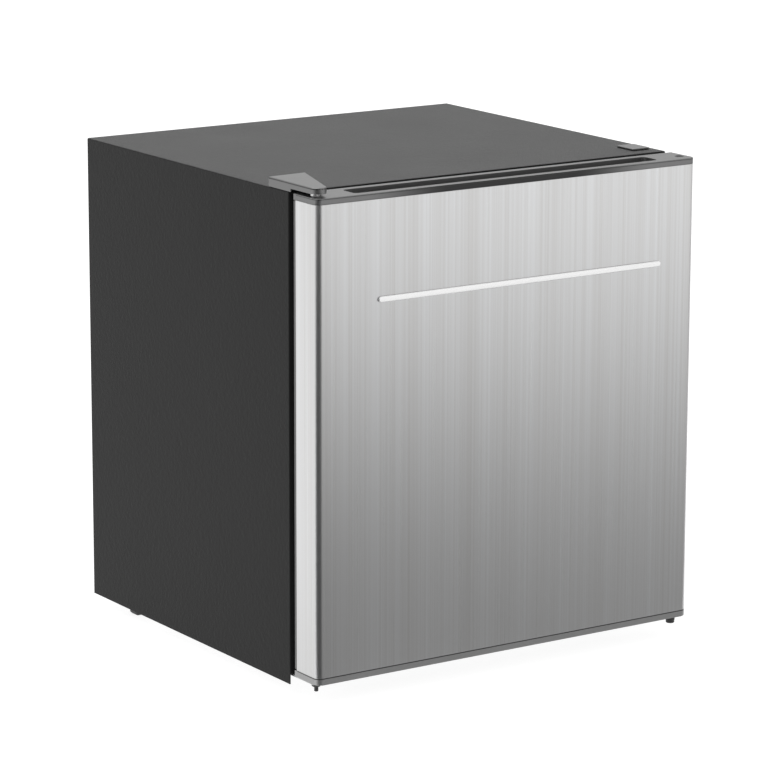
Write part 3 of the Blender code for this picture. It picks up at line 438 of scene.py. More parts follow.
# finishes
plainLook = {
    "metallic": 0.0,
    "specular": 0.5,
    "edge": 1.0,  # how bright the sheen is at a glancing angle
    "drift": 0.12,
    "patches": 14.0,
    "grains": 1200.0,
    "coarse": 0.3,
    "bump": 0.15,
    "depth": 0.0001,
}
looks = {
    "charcoalPaint": {
        "colour": grey(0.0095), "worn": grey(0.0120), "roughness": 0.50, "drift": 0.05,
        "specular": 0.14, "grains": 700.0, "coarse": 0.5, "bump": 0.7, "depth": 0.0007,
    },
    "smokedSilverPlastic": {
        "colour": grey(0.185), "worn": grey(0.205), "roughness": 0.36, "drift": 0.08,
        "metallic": 0.9, "edge": 0.6, "grains": 1500.0, "bump": 0.08,
    },
    "satinChrome": {
        "colour": grey(0.80), "worn": grey(0.84), "roughness": 0.16, "drift": 0.05,
        "metallic": 0.6, "bump": 0.03,
    },
    "whiteStyrene": {
        "colour": (0.80, 0.815, 0.82, 1.0), "worn": (0.84, 0.845, 0.84, 1.0), "roughness": 0.30,
        "drift": 0.1, "grains": 380.0, "bump": 0.10, "depth": 0.0002,
    },
    "greySealVinyl": {
        "colour": grey(0.040), "worn": grey(0.055), "roughness": 0.55, "grains": 800.0,
    },
    "blackNylon": {
        "colour": grey(0.012), "worn": grey(0.020), "roughness": 0.48, "grains": 900.0,
        "bump": 0.25,
    },
    "blackEnamel": {
        "colour": grey(0.010), "worn": grey(0.016), "roughness": 0.30, "drift": 0.2,
        "grains": 260.0, "bump": 0.12, "depth": 0.0004,
    },
    "drawnCopper": {
        "colour": (0.80, 0.40, 0.24, 1.0), "worn": (0.52, 0.25, 0.15, 1.0), "roughness": 0.30,
        "drift": 0.3, "metallic": 1.0, "patches": 60.0, "bump": 0.1,
    },
    "polyurethaneFoam": {
        "colour": (0.85, 0.74, 0.46, 1.0), "worn": (0.80, 0.66, 0.36, 1.0), "roughness": 0.9,
        "grains": 500.0, "bump": 0.8, "depth": 0.001,
    },
}
paintedLightAndTones = {
    "capLipPaintedShade": grey(0.043),
    "lipSkin": 0.0004,  # how far behind the steel's face the painted shade on the lip reaches
    "lipFade": (0.050, 0.150),  # in from the door's sides
    "linerRim": grey(0.075),
    "rimWidth": 0.002,
    "bottomCapPaintedLight": (grey(0.34), grey(0.38)),
}


def plainFinish(name):
    return handledMaterial(name, looks[name])[0]


def bottomCapPlastic():
    # painted light: the bottom cap gets a lighter copy of the top cap's dark grey plastic, standing
    # in for light
    colour, worn = paintedLightAndTones["bottomCapPaintedLight"]
    look = {**looks["smokedSilverPlastic"], "colour": colour, "worn": worn}
    return handledMaterial("bottomCapPlastic", look)[0]


def capPlastic():
    # painted shade: the long front lip of the top cap is darkened towards its middle, standing in
    # for a dark reflection in the glossy plastic
    material, tree, shader = handledMaterial("doorCapPlastic", looks["smokedSilverPlastic"])
    low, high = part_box("door_skin")
    split = splitPlace(tree)
    inFront = maths(tree, "LESS_THAN", split["Y"], low.y + paintedLightAndTones["lipSkin"])
    aside = maths(tree, "ABSOLUTE", split["X"], 0.0)
    ends = [high.x - inset for inset in paintedLightAndTones["lipFade"]]
    share = maths(tree, "MULTIPLY", inFront, mapRange(tree, aside, ends, smooth=True))
    overlayColour(tree, shader, share, paintedLightAndTones["capLipPaintedShade"])
    return material


def doorLinerPlastic():
    # white inside, with a darker grey band round the rim behind the steel
    material, tree, shader = handledMaterial("doorLinerStyrene", looks["whiteStyrene"])
    low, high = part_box("door_liner")
    split = splitPlace(tree)
    fromMiddle = maths(tree, "ABSOLUTE", split["X"], 0.0)
    onSide = maths(tree, "GREATER_THAN", fromMiddle, high.x - paintedLightAndTones["rimWidth"])
    middle = (low.z + high.z) / 2
    upDown = maths(tree, "ABSOLUTE", maths(tree, "SUBTRACT", split["Z"], middle), 0.0)
    onEnd = maths(tree, "GREATER_THAN", upDown, high.z - middle - paintedLightAndTones["rimWidth"])
    overlayColour(tree, shader, maths(tree, "MAXIMUM", onSide, onEnd), paintedLightAndTones["linerRim"])
    return material


steel = {
    "base": grey(0.56, 0.010),
    "cool": grey(0.67, -0.010),
    "lines": 1500.0,
    "linesAlong": 2.5,
    "streakShare": 0.65,
    "spread": (0.33, 0.67),
    "roughness": 0.23,
    "roughnessSwing": 0.14,
    "anisotropy": 0.72,
    "bump": 0.10,
}


def brushedDoorSteel():
    material, tree, shader = newMaterial("brushedDoorSteel", 1.0)
    values = {"Lines per metre": steel["lines"], "Lines along": steel["linesAlong"]}
    lines = addGroup(tree, brushGroup, values)
    streaks = maths(tree, "MULTIPLY", lines["Streaks"], steel["streakShare"])
    drift = maths(tree, "MULTIPLY", lines["Drift"], 1 - steel["streakShare"])
    spread = mapRange(tree, maths(tree, "ADD", streaks, drift), steel["spread"])
    base = mixColour(tree, spread, steel["base"], steel["cool"])
    tree.links.new(base, shader.inputs["Base Color"])
    swing = maths(tree, "MULTIPLY", lines["Fine"], steel["roughnessSwing"])
    tree.links.new(maths(tree, "ADD", swing, steel["roughness"]), shader.inputs["Roughness"])
    shader.inputs["Anisotropic"].default_value = steel["anisotropy"]
    addBump(tree, shader, lines["Fine"], steel["bump"], 0.0001)
    return material


sheet = {"lines": 700.0, "linesAlong": 9.0, "roughnessSwing": 0.2, "bump": 0.12}


def brushedSheet(name, colour, worn, roughness):
    material, tree, shader = newMaterial(name, 1.0)
    values = {"Lines per metre": sheet["lines"], "Lines along": sheet["linesAlong"]}
    lines = addGroup(tree, brushGroup, values)
    base = mixColour(tree, lines["Drift"], colour, worn)
    tree.links.new(base, shader.inputs["Base Color"])
    swing = maths(tree, "MULTIPLY", lines["Streaks"], sheet["roughnessSwing"])
    tree.links.new(maths(tree, "ADD", swing, roughness), shader.inputs["Roughness"])
    addBump(tree, shader, lines["Fine"], sheet["bump"], 0.0001)
    return material


clear = {"drift": 0.08, "grains": 90.0, "coarse": 0.7, "bump": 0.06, "depth": 0.0005}


def clearMaterial(name, colour, roughness, transmission, ior):
    material, tree, shader = newMaterial(name)
    patch = {"Colour": colour, "Worn colour": colour, "Roughness": roughness}
    addPatches(tree, shader, {**patch, "Roughness drift": clear["drift"]})
    shader.inputs["Transmission Weight"].default_value = transmission
    shader.inputs["IOR"].default_value = ior
    grain = {"Grains per metre": clear["grains"], "Coarse share": clear["coarse"]}
    height = addGroup(tree, grainGroup, grain)["Height"]
    addBump(tree, shader, height, clear["bump"], clear["depth"])
    return material


finishes = {
    "dark_paint": plainFinish("charcoalPaint"),
    "stainless": brushedDoorSteel(),
    "bright_chrome": plainFinish("satinChrome"),
    "grey_plastic": plainFinish("smokedSilverPlastic"),
    "white_plastic": plainFinish("whiteStyrene"),
    "clear_plastic": clearMaterial("clearPolystyrene", (0.93, 0.965, 0.98, 1.0), 0.10, 0.9, 1.45),
    "rubber": plainFinish("greySealVinyl"),
    "black_plastic": plainFinish("blackNylon"),
    "zinc_steel": brushedSheet("galvanisedSheet", grey(0.50), grey(0.60, -0.01), 0.32),
    "aluminium": brushedSheet("rolledAluminium", grey(0.76), grey(0.84), 0.22),
    "black_paint": plainFinish("blackEnamel"),
    "copper": plainFinish("drawnCopper"),
    "foam": plainFinish("polyurethaneFoam"),
    "glass": clearMaterial("shelfGlass", (0.82, 0.95, 0.90, 1.0), 0.02, 1.0, 1.5),
}
print("finishes ready:", len(finishes))


# mesh tools
def placePiece(name, mesh, body, slot, material=None, smoothAngle=35):
    mesh.materials.append(material or finishes[slot])
    mesh.shade_smooth()
    mesh.set_sharp_from_angle(angle=math.radians(smoothAngle))
    piece = linked(name, mesh)
    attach(piece, body)
    return piece


def meshFrom(name, work):
    bmesh.ops.recalc_face_normals(work, faces=work.faces)
    mesh = bpy.data.meshes.new(name)
    work.to_mesh(mesh)
    work.free()
    return mesh


def placeWork(name, work, body, slot, smoothAngle=35):
    return placePiece(name, meshFrom(name, work), body, slot, smoothAngle=smoothAngle)


def addBar(work, low, high, radius=0.0, steps=2):
    # a rounded bar between two corners
    made = bmesh.ops.create_cube(work, size=1.0)["verts"]
    for vertex in made:
        for i in range(3):
            vertex.co[i] = (low[i] + high[i]) / 2 + vertex.co[i] * (high[i] - low[i])
    if radius:
        edges = list({e for v in made for e in v.link_edges})
        shape = {"offset": radius, "segments": steps, "profile": 0.5}
        bmesh.ops.bevel(work, geom=edges, affect="EDGES", **shape)


def addRows(work, loops, closed=False):
    # skins a stack of loops with the same number of points; open stacks get end faces
    rows = [[work.verts.new(spot) for spot in loop] for loop in loops]
    pairs = list(zip(rows, rows[1:]))
    if closed:
        pairs.append((rows[-1], rows[0]))
    for lower, upper in pairs:
        count = len(lower)
        for k in range(count):
            after = (k + 1) % count
            work.faces.new((lower[k], lower[after], upper[after], upper[k]))
    if not closed:
        work.faces.new(rows[0][::-1])
        work.faces.new(rows[-1])


def addTurned(work, profile, place, axis=(0, 0, 1), sides=24):
    # revolves (radius, height) points about an axis through place
    turn = turnTo(axis)
    loops = []
    for radius, height in profile:
        spots = [Vector((x, y, height)) for x, y in circle(radius, sides)]
        loops.append([Vector(place) + turn @ spot for spot in spots])
    addRows(work, loops)


def addTube(work, points, radius, sides=10, closed=False, flatten=1.0):
    # a tube along points; flatten squeezes it up and down
    points = [Vector(p) for p in points]
    count = len(points)
    loops = []
    guide = None
    for i, point in enumerate(points):
        before = points[i - 1] if i > 0 or closed else point
        after = points[(i + 1) % count] if i < count - 1 or closed else point
        along = (after - before).normalized()
        if guide is None:
            guide = along.orthogonal().normalized()
        guide = (guide - along * guide.dot(along)).normalized()
        other = along.cross(guide)
        loop = []
        for x, y in circle(radius, sides):
            offset = guide * x + other * y
            offset.z *= flatten
            loop.append(point + offset)
        loops.append(loop)
    addRows(work, loops, closed)


def cornerArc(centre, radius, start, end, steps):
    points = []
    for k in range(steps + 1):
        angle = math.radians(start + (end - start) * k / steps)
        points.append((centre[0] + radius * math.cos(angle), centre[1] + radius * math.sin(angle)))
    return points


def rimLoop(low, high, radius, steps):
    # a rounded rectangle in the (x, z) plane, anticlockwise from the right-hand side
    points = []
    for x, z, start in (
        (high[0] - radius, high[1] - radius, 0),
        (low[0] + radius, high[1] - radius, 90),
        (low[0] + radius, low[1] + radius, 180),
        (high[0] - radius, low[1] + radius, 270),
    ):
        points += cornerArc((x, z), radius, start, start + 90, steps)
    return points


def spotsOn(loop, y):
    return [(x, y, z) for x, z in loop]


# carried-over parts: finishes and softened edges
edges = {
    "plain": 0.0004,
    "steps": 2,
    "angle": 38.0,
    "byNode": {
        "door_skin": 0.00025,
        "cabinet_shell": 0.0003,
        "shelf_glass": 0.0006,
        "door_liner": 0.0012,
        "freezer_frame": 0.0010,
        "thermostat_housing": 0.0008,
        "evaporator": 0.0005,
        "door_trim_strip": 0.0003,
        "relay_cover": 0.0008,
        "rear_foot_left": 0.0010,
        "rear_foot_right": 0.0010,
    },
    "unsoftened": {"cabinet_foam", "door_foam"},
}


def softenNode(name):
    node = nodes[name]
    mesh = node.data
    if "custom_normal" in mesh.attributes:
        mesh.attributes.remove(mesh.attributes["custom_normal"])
    mesh.shade_smooth()
    weld = node.modifiers.new("weld", "WELD")
    weld.merge_threshold = 0.00001
    bevel = node.modifiers.new("softEdge", "BEVEL")
    bevel.width = edges["byNode"].get(name, edges["plain"])
    bevel.segments = edges["steps"]
    bevel.limit_method = "ANGLE"
    bevel.angle_limit = math.radians(edges["angle"])
    bevel.use_clamp_overlap = True
    even = node.modifiers.new("evenShading", "WEIGHTED_NORMAL")
    even.keep_sharp = True


def finishNodes():
    special = {
        "door_liner": doorLinerPlastic(),
        "door_top_cap": capPlastic(),
        "door_bottom_cap": bottomCapPlastic(),
    }
    for part in frame["record"]["subparts"]:
        name = part["node"]
        node = nodes[name]
        node.data.materials.clear()
        node.data.materials.append(special.get(name, finishes[part["material_slot"]]))
        if name not in edges["unsoftened"]:
            softenNode(name)


finishNodes()
print("carried-over parts finished")


# painted shade: dark strips standing in for the shadow lines at the door's and hinge cover's seams;
# and the door's steel hem
band = {
    "proud": 0.00008,
    "sunk": 0.0004,
    "hemProud": 0.00012,
    "behindSkin": 0.0010,  # where the bands end at the door's rear
    # lower and upper edge, from the foot of the steel and from the top of the cap
    "lowPaintedShadowLine": (-0.0008, 0.0002),
    "hem": (0.0003, 0.0009),
    "capPaintedShadowLine": (-0.0014, -0.0009),
    "coverPaintedShadowLine": (-0.0017, -0.0008),
    "coverEnd": 0.0024,
    "doorRadius": 0.0065,
    "coverRadius": 0.0082,
}


def addBand(work, path, level, heights, proud=band["proud"]):
    # a thin strip set into the side of an upright wall; path runs with the wall on its left
    low, high = level + heights[0], level + heights[1]
    sunk = -band["sunk"]
    spots = [Vector(p) for p in path]
    loops = []
    for i, spot in enumerate(spots):
        before = spots[i - 1] if i > 0 else spot
        after = spots[i + 1] if i < len(spots) - 1 else spot
        along = (after - before).normalized()
        outward = Vector((along.y, -along.x))
        loop = []
        for shift, height in ((proud, low), (proud, high), (sunk, high), (sunk, low)):
            place = spot + outward * shift
            loop.append((place.x, place.y, height))
        loops.append(loop)
    addRows(work, loops)


def doorPath():
    # round the left side, the front and the right side of the door, seen from above
    low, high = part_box("door_skin")
    radius = band["doorRadius"]
    rear = high.y - band["behindSkin"]
    path = [(low.x, rear)]
    path += cornerArc((low.x + radius, low.y + radius), radius, 180, 270, 8)
    path += cornerArc((high.x - radius, low.y + radius), radius, 270, 360, 8)
    path.append((high.x, rear))
    return path


def makeDoorShadowLinesAndHem():
    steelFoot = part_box("door_skin")[0].z
    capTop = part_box("door_top_cap")[1].z
    work = bmesh.new()
    # painted shade: dark strips standing in for the shadow lines at the foot of the steel and just
    # below the top of the cap
    addBand(work, doorPath(), steelFoot, band["lowPaintedShadowLine"])
    addBand(work, doorPath(), capTop, band["capPaintedShadowLine"])
    placeWork("doorPaintedShadowLines", work, "door", "black_plastic")
    work = bmesh.new()
    addBand(work, doorPath(), steelFoot, band["hem"], band["hemProud"])
    placeWork("steelHem", work, "door", "stainless")


def makeCoverShadowLine():
    low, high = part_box("top_hinge_cover")
    radius = band["coverRadius"]
    path = [(low.x, high.y - band["coverEnd"])]
    path += cornerArc((low.x + radius, low.y + radius), radius, 180, 300, 10)
    work = bmesh.new()
    # painted shade: a dark strip standing in for the shadow line just below the hinge cover's top
    addBand(work, path, high.z, band["coverPaintedShadowLine"])
    placeWork("coverPaintedShadowLine", work, "cabinet", "black_plastic")


spare = {
    "sides": 28,
    # (radius, height) of the plug under the door, from the lower end of the hinge pin
    "plug": [
        (0.0030, -0.0002), (0.0039, 0.0001), (0.0044, 0.0008), (0.0044, 0.0028),
        (0.0047, 0.0032), (0.0047, 0.0094), (0.0044, 0.0100),
    ],
    # the same for the bush in the cap's hole, from the top of the cap
    "bush": [
        (0.0012, -0.0022), (0.0024, -0.0019), (0.0027, -0.0002), (0.0031, 0.0003),
        (0.0045, 0.0003), (0.0048, 0.0001), (0.0048, -0.0004), (0.0044, -0.0030),
    ],
}


def makeSpare(name, profile, pin, level, slot):
    # the unused hinge place lies opposite the pin
    middle = middleOf(pin)
    work = bmesh.new()
    turned = [(radius, level + height) for radius, height in profile]
    addTurned(work, turned, (-middle.x, middle.y, 0), sides=spare["sides"])
    placeWork(name, work, "door", slot)


makeDoorShadowLinesAndHem()
makeCoverShadowLine()
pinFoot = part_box("bottom_hinge_pin")[0].z
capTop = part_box("door_top_cap")[1].z
makeSpare("spareHingePlug", spare["plug"], "bottom_hinge_pin", pinFoot, "black_plastic")
makeSpare("spareHoleBush", spare["bush"], "top_hinge_pin", capTop, "rubber")
print("seams made")


# door seal
seal = {
    # (out from the inner edge, back from the door) in shares of the seal's width and depth
    "profile": [
        (0.06, 0.00), (0.94, 0.00), (0.97, 0.09), (0.88, 0.18), (0.80, 0.26), (0.90, 0.36),
        (0.81, 0.46), (0.91, 0.53), (0.98, 0.60), (1.00, 0.75), (0.97, 0.91), (0.92, 1.00),
        (0.24, 1.00), (0.08, 0.95), (0.01, 0.84), (0.00, 0.72), (0.06, 0.59), (0.16, 0.53),
        (0.09, 0.44), (0.18, 0.35), (0.08, 0.25), (0.15, 0.16), (0.04, 0.09),
    ],
    "width": 0.015,
}


def makeSeal():
    low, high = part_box("door_gasket")
    depth = high.y - low.y
    loops = []
    for out, back in seal["profile"]:
        inset = seal["width"] * (1 - out)
        y = low.y + depth * back
        left, right = low.x + inset, high.x - inset
        bottom, top = low.z + inset, high.z - inset
        loops.append([(left, y, bottom), (right, y, bottom), (right, y, top), (left, y, top)])
    work = bmesh.new()
    addRows(work, loops, True)
    piece = placeWork("doorSeal", work, "door", "rubber", 60)
    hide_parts("door_gasket")


makeSeal()
print("seal made")


# inside of the cabinet
tub = {
    "half": 0.184,
    "floor": 0.058,
    "top": 0.4522,
    "back": 0.345,  # depths are from the front frame
    "stepFront": 0.208,
    "stepTop": 0.222,
    "wall": 0.0014,
    "corner": 0.008,
    "cornerSteps": 6,
    "mouthRoll": 0.003,
    "tuck": 0.0001,
    "runnerReach": 0.008,
    "runnerRoot": 0.0008,  # how far the runners go into the wall
    "runnerRadius": 0.0012,
    # how far back each runner goes, and its lower and upper edge
    "runners": [
        (0.030, 0.195, 0.1460, 0.1500),
        (0.020, 0.326, 0.2280, 0.2310),
        (0.060, 0.326, 0.2400, 0.2435),
        (0.030, 0.326, 0.3410, 0.3447),
    ],
}


def tubOutline():
    y = frontPlane
    return [
        (y, tub["floor"]),
        (y + tub["stepFront"], tub["floor"]),
        (y + tub["stepFront"], tub["stepTop"]),
        (y + tub["back"], tub["stepTop"]),
        (y + tub["back"], tub["top"]),
        (y, tub["top"]),
    ]


def makeTub():
    # the rounded space is made first, its mouth opened, and the wall grown outwards
    work = bmesh.new()
    outline = tubOutline()
    ends = [[work.verts.new((x, y, z)) for y, z in outline] for x in (-tub["half"], tub["half"])]
    work.faces.new(ends[0])
    work.faces.new(ends[1][::-1])
    count = len(outline)
    for i in range(count):
        after = (i + 1) % count
        work.faces.new((ends[0][i], ends[0][after], ends[1][after], ends[1][i]))
    bmesh.ops.recalc_face_normals(work, faces=work.faces)

    def inMouth(item):
        return all(abs(v.co.y - frontPlane) < 1e-6 for v in item.verts)

    kept = [e for e in work.edges if not inMouth(e)]
    shape = {"offset": tub["corner"], "segments": tub["cornerSteps"], "profile": 0.5}
    bmesh.ops.bevel(work, geom=kept, affect="EDGES", **shape)
    mouth = [f for f in work.faces if inMouth(f)]
    bmesh.ops.delete(work, geom=mouth, context="FACES")
    bmesh.ops.reverse_faces(work, faces=work.faces)
    mesh = bpy.data.meshes.new("linerTub")
    work.to_mesh(mesh)
    work.free()
    piece = placePiece("linerTub", mesh, "cabinet", "white_plastic", smoothAngle=50)
    wall = piece.modifiers.new("wall", "SOLIDIFY")
    wall.thickness = tub["wall"]
    wall.offset = -1.0
    wall.use_even_offset = True
    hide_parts("inner_liner")


def tubLoop(grow, radius, y):
    low = (-tub["half"] - grow, tub["floor"] - grow)
    high = (tub["half"] + grow, tub["top"] + grow)
    return spotsOn(rimLoop(low, high, radius, tub["cornerSteps"]), y)


def flangeLoop(inner, y):
    # the flange's square outline, with as many points as the rounded one inside it
    low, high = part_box("inner_liner")
    steps = tub["cornerSteps"]
    outer = []
    corners = ((high.x, high.z), (low.x, high.z), (low.x, low.z), (high.x, low.z))
    for c, (x, z) in enumerate(corners):
        turning = c % 2 == 0
        for k in range(steps + 1):
            innerX, innerZ = inner[c * (steps + 1) + k][::2]
            # half of a corner's points lie on one side of it and half on the other
            if 2 * k == steps:
                outer.append((x, z))
            elif (2 * k < steps) == turning:
                outer.append((x, innerZ))
            else:
                outer.append((innerX, z))
    return spotsOn(outer, y)


def makeMouthRim():
    # flat flange against the front frame, rolled into the tub
    roll, corner, inside = tub["mouthRoll"], tub["corner"], tub["tuck"]
    loops = []
    for k in range(5):
        angle = math.pi / 2 * k / 4
        grow = roll * (1 - math.cos(angle)) - inside
        y = frontPlane + roll * (1 - math.sin(angle))
        loops.append(tubLoop(grow, corner + grow, y))
    rear = frontPlane + tub["wall"]
    inner = loops[-1]
    loops += [flangeLoop(inner, frontPlane), flangeLoop(inner, rear)]
    loops.append(tubLoop(roll, corner + roll, rear))
    loops.append(tubLoop(inside * 3, corner, frontPlane + roll))
    work = bmesh.new()
    addRows(work, loops, True)
    placeWork("linerRim", work, "cabinet", "white_plastic", 40)


def makeRunners():
    work = bmesh.new()
    for start, end, low, high in tub["runners"]:
        for side in (-1, 1):
            wall = side * (tub["half"] + tub["runnerRoot"])
            tip = side * (tub["half"] - tub["runnerReach"])
            left, right = sorted((wall, tip))
            near = (left, frontPlane + start, low)
            addBar(work, near, (right, frontPlane + end, high), tub["runnerRadius"], 3)
    placeWork("linerRunners", work, "cabinet", "white_plastic")


makeTub()
makeMouthRim()
makeRunners()
print("liner made")


# freezer box
freezer = {
    "channelRadius": 0.0032,
    "channelFlat": 0.35,
    "channelRows": 6,
    "channelInset": (0.030, 0.020),
    "sheet": 0.0016,
    "ribCount": 3,
    "ribWidth": 0.0016,
    "ribInset": 0.010,
    "ribFront": 0.0009,
    "ribRear": 0.0006,
    "uprightWidth": 0.003,
    "flapFace": 0.098,  # behind the front frame
}


def serpentine(left, right, front, back, rows, height):
    points = []
    pitch = (back - front) / (rows - 1)
    for row in range(rows):
        y = front + pitch * row
        goingRight = row % 2 == 0
        start, end = (left, right) if goingRight else (right, left)
        points += [(start, y, height), ((start + end) / 2, y, height), (end, y, height)]
        if row < rows - 1:
            side = pitch / 2 if goingRight else -pitch / 2
            for k in range(1, 6):
                angle = math.pi * k / 6
                x = end + side * math.sin(angle)
                points.append((x, y + pitch / 2 * (1 - math.cos(angle)), height))
    return points


def makeChannels():
    low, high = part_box("evaporator")
    aside, ahead = freezer["channelInset"]
    left, right, front, back = low.x + aside, high.x - aside, low.y + ahead, high.y - ahead
    work = bmesh.new()
    for height in (low.z + freezer["sheet"], high.z - freezer["sheet"]):
        route = serpentine(left, right, front, back, freezer["channelRows"], height)
        addTube(work, route, freezer["channelRadius"], 10, flatten=freezer["channelFlat"])
    placeWork("evaporatorChannels", work, "cabinet", "aluminium")


def makeFlapRibs():
    low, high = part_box("freezer_flap")
    frameLow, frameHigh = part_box("freezer_frame")
    inset, width, upright = freezer["ribInset"], freezer["ribWidth"], freezer["uprightWidth"]
    left, right = frameLow.x + inset, frameHigh.x - inset
    bottom, top = low.z + inset, high.z - inset
    face = frontPlane + freezer["flapFace"]
    front, rear = face - freezer["ribFront"], face + freezer["ribRear"]
    work = bmesh.new()
    for k in range(freezer["ribCount"]):
        z = bottom + (top - bottom) * (k + 1) / (freezer["ribCount"] + 1)
        addBar(work, (left, front, z - width), (right, rear, z + width), 0.0005, 2)
    for x in (left, right - upright):
        addBar(work, (x, front, bottom), (x + upright, rear, top), 0.0005, 2)
    placeWork("flapRibs", work, "freezer_flap", "clear_plastic")


makeChannels()
makeFlapRibs()


# thermostat dial
dial = {
    "numbers": ["0", "1", "2", "3", "4", "5", "6", "7"],
    "sweep": 270.0,
    "radius": 0.0167,
    "textSize": 0.0036,
    "raise": 0.00015,
    "face": 0.0030,  # the dial's face lies this far ahead of its flange
    "depth": 0.1247,
    "height": 0.412,
    "ridges": 36,
    "ridgeCircle": 0.0189,
    "ridge": [(0.0003, -0.0028), (0.0006, -0.0024), (0.0006, -0.0006), (0.0003, -0.0002)],
    "pointerTip": 0.0205,
    "pointerHalf": 0.0022,
    "pointerTall": 0.0036,
    "pointerLevels": (0.0002, -0.0003),
    "ink": {"colour": grey(0.03), "worn": grey(0.05), "roughness": 0.5},
}


def dialCentre():
    middle = middleOf("thermostat_knob")
    return Vector((middle.x, frontPlane + dial["depth"], dial["height"]))


def digitMesh(digit):
    text = bpy.data.curves.new("digit", "FONT")
    text.body = digit
    text.size = dial["textSize"]
    text.extrude = dial["raise"]
    text.align_x = "CENTER"
    text.align_y = "CENTER"
    holder = linked("digit", text)
    bpy.context.view_layer.update()
    finished = holder.evaluated_get(bpy.context.evaluated_depsgraph_get())
    shape = bpy.data.meshes.new_from_object(finished)
    bpy.data.objects.remove(holder, do_unlink=True)
    return shape


def makeDialNumbers():
    centre = dialCentre()
    stand = Matrix.Rotation(math.pi / 2, 4, "X")
    work = bmesh.new()
    for k, digit in enumerate(dial["numbers"]):
        # the number against the pointer rises as the knob turns clockwise
        angle = math.radians(90 - dial["sweep"] * k / (len(dial["numbers"]) - 1))
        shape = digitMesh(digit)
        spin = Matrix.Rotation(angle - math.pi / 2, 4, "Z")
        x = centre.x + dial["radius"] * math.cos(angle)
        z = centre.z + dial["radius"] * math.sin(angle)
        shape.transform(Matrix.Translation((x, centre.y - dial["face"], z)) @ stand @ spin)
        work.from_mesh(shape)
        bpy.data.meshes.remove(shape)
    mesh = bpy.data.meshes.new("dialNumbers")
    bmesh.ops.remove_doubles(work, verts=work.verts, dist=1e-7)
    work.to_mesh(mesh)
    work.free()
    ink = handledMaterial("dialInk", dial["ink"])[0]
    placePiece("dialNumbers", mesh, "thermostat_knob", "black_plastic", ink)


def makeDialRidges():
    # grip ridges round the knob's flange
    centre = dialCentre()
    work = bmesh.new()
    for x, z in circle(dial["ridgeCircle"], dial["ridges"], (centre.x, centre.z)):
        addTurned(work, dial["ridge"], (x, centre.y, z), (0, 1, 0), 8)
    placeWork("dialRidges", work, "thermostat_knob", "white_plastic")


def makeDialPointer():
    # a small raised triangle on the housing, over the dial
    centre = dialCentre()
    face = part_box("thermostat_housing")[0].y
    half = dial["pointerHalf"]
    x, tip = centre.x, centre.z + dial["pointerTip"]
    top = tip + dial["pointerTall"]
    corners = [(x, tip), (x + half, top), (x - half, top)]
    work = bmesh.new()
    addRows(work, [spotsOn(corners, face + level) for level in dial["pointerLevels"]])
    placeWork("dialPointer", work, "cabinet", "black_plastic")


makeDialNumbers()
makeDialRidges()
makeDialPointer()
print("freezer and thermostat made")


# refrigeration
wires = {
    "count": 46,
    "radius": 0.0007,
    "sides": 8,
    "screens": {"innerWires": "condenser_screen_inner", "outerWires": "condenser_screen_outer"},
}


def makeWires():
    radius = wires["radius"]
    for name, node in wires["screens"].items():
        low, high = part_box(node)
        y = (low.y + high.y) / 2
        tall = high.z - low.z
        profile = [(radius * 0.6, 0.0), (radius, radius * 0.5)]
        profile += [(radius, tall - radius * 0.5), (radius * 0.6, tall)]
        work = bmesh.new()
        for k in range(wires["count"]):
            x = low.x + (high.x - low.x) * (k + 0.5) / wires["count"]
            addTurned(work, profile, (x, y, low.z), sides=wires["sides"])
        piece = placeWork(name, work, "cabinet", "black_paint")
        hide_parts(node)


bolt = {
    "flange": 0.0075,
    "collar": 0.0052,
    "hexAcross": 0.0048,
    "hexHeight": 0.0034,
    "headRoom": 0.0046,  # from the flange's seat to the top of the head
    "core": 0.0031,
    "thread": 0.0036,
    "pitch": 0.0008,
    "threaded": 0.008,
}


def addHexHead(work, place, across, height):
    loops = []
    for level, shrink in ((0.0, 0.0), (height - 0.0006, 0.0), (height, 0.0006)):
        loops.append([Vector(place) + Vector((x, y, level)) for x, y in circle(across - shrink, 6)])
    addRows(work, loops)


def makeBolt(name, node):
    low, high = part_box(node)
    middle = middleOf(node)
    seat = high.z - bolt["headRoom"]
    profile = [(0.0030, low.z)]
    z = low.z + 0.0006
    while z < low.z + bolt["threaded"]:
        profile += [(bolt["thread"], z), (bolt["core"], z + bolt["pitch"] / 2)]
        z += bolt["pitch"]
    profile += [(bolt["thread"], z), (bolt["thread"], seat), (bolt["flange"], seat + 0.0001)]
    profile += [(bolt["flange"], seat + 0.0010), (bolt["collar"], seat + 0.0016)]
    work = bmesh.new()
    addTurned(work, profile, (middle.x, middle.y, 0), sides=20)
    place = (middle.x, middle.y, seat + 0.0012)
    addHexHead(work, place, bolt["hexAcross"], bolt["hexHeight"])
    piece = placeWork(name, work, "cabinet", "zinc_steel")
    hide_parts(node)


fittings = {
    "weldRadius": 0.0532,
    "weldStretch": 1.35,  # the can is wider than deep
    "weldHeight": 0.0944,
    "weldTube": 0.0010,
    "stubLeft": 0.050,
    "stubTube": 0.0030,
    # the stub's bends, from the can's middle and the left, up from the floor
    "stub": [
        (0.0, 0.022, 0.126), (-0.006, 0.030, 0.132), (-0.010, 0.036, 0.142),
        (-0.011, 0.038, 0.152), (-0.011, 0.038, 0.160),
    ],
    "pinched": ((-0.0150, 0.0372, 0.156), (-0.0070, 0.0388, 0.166)),
}


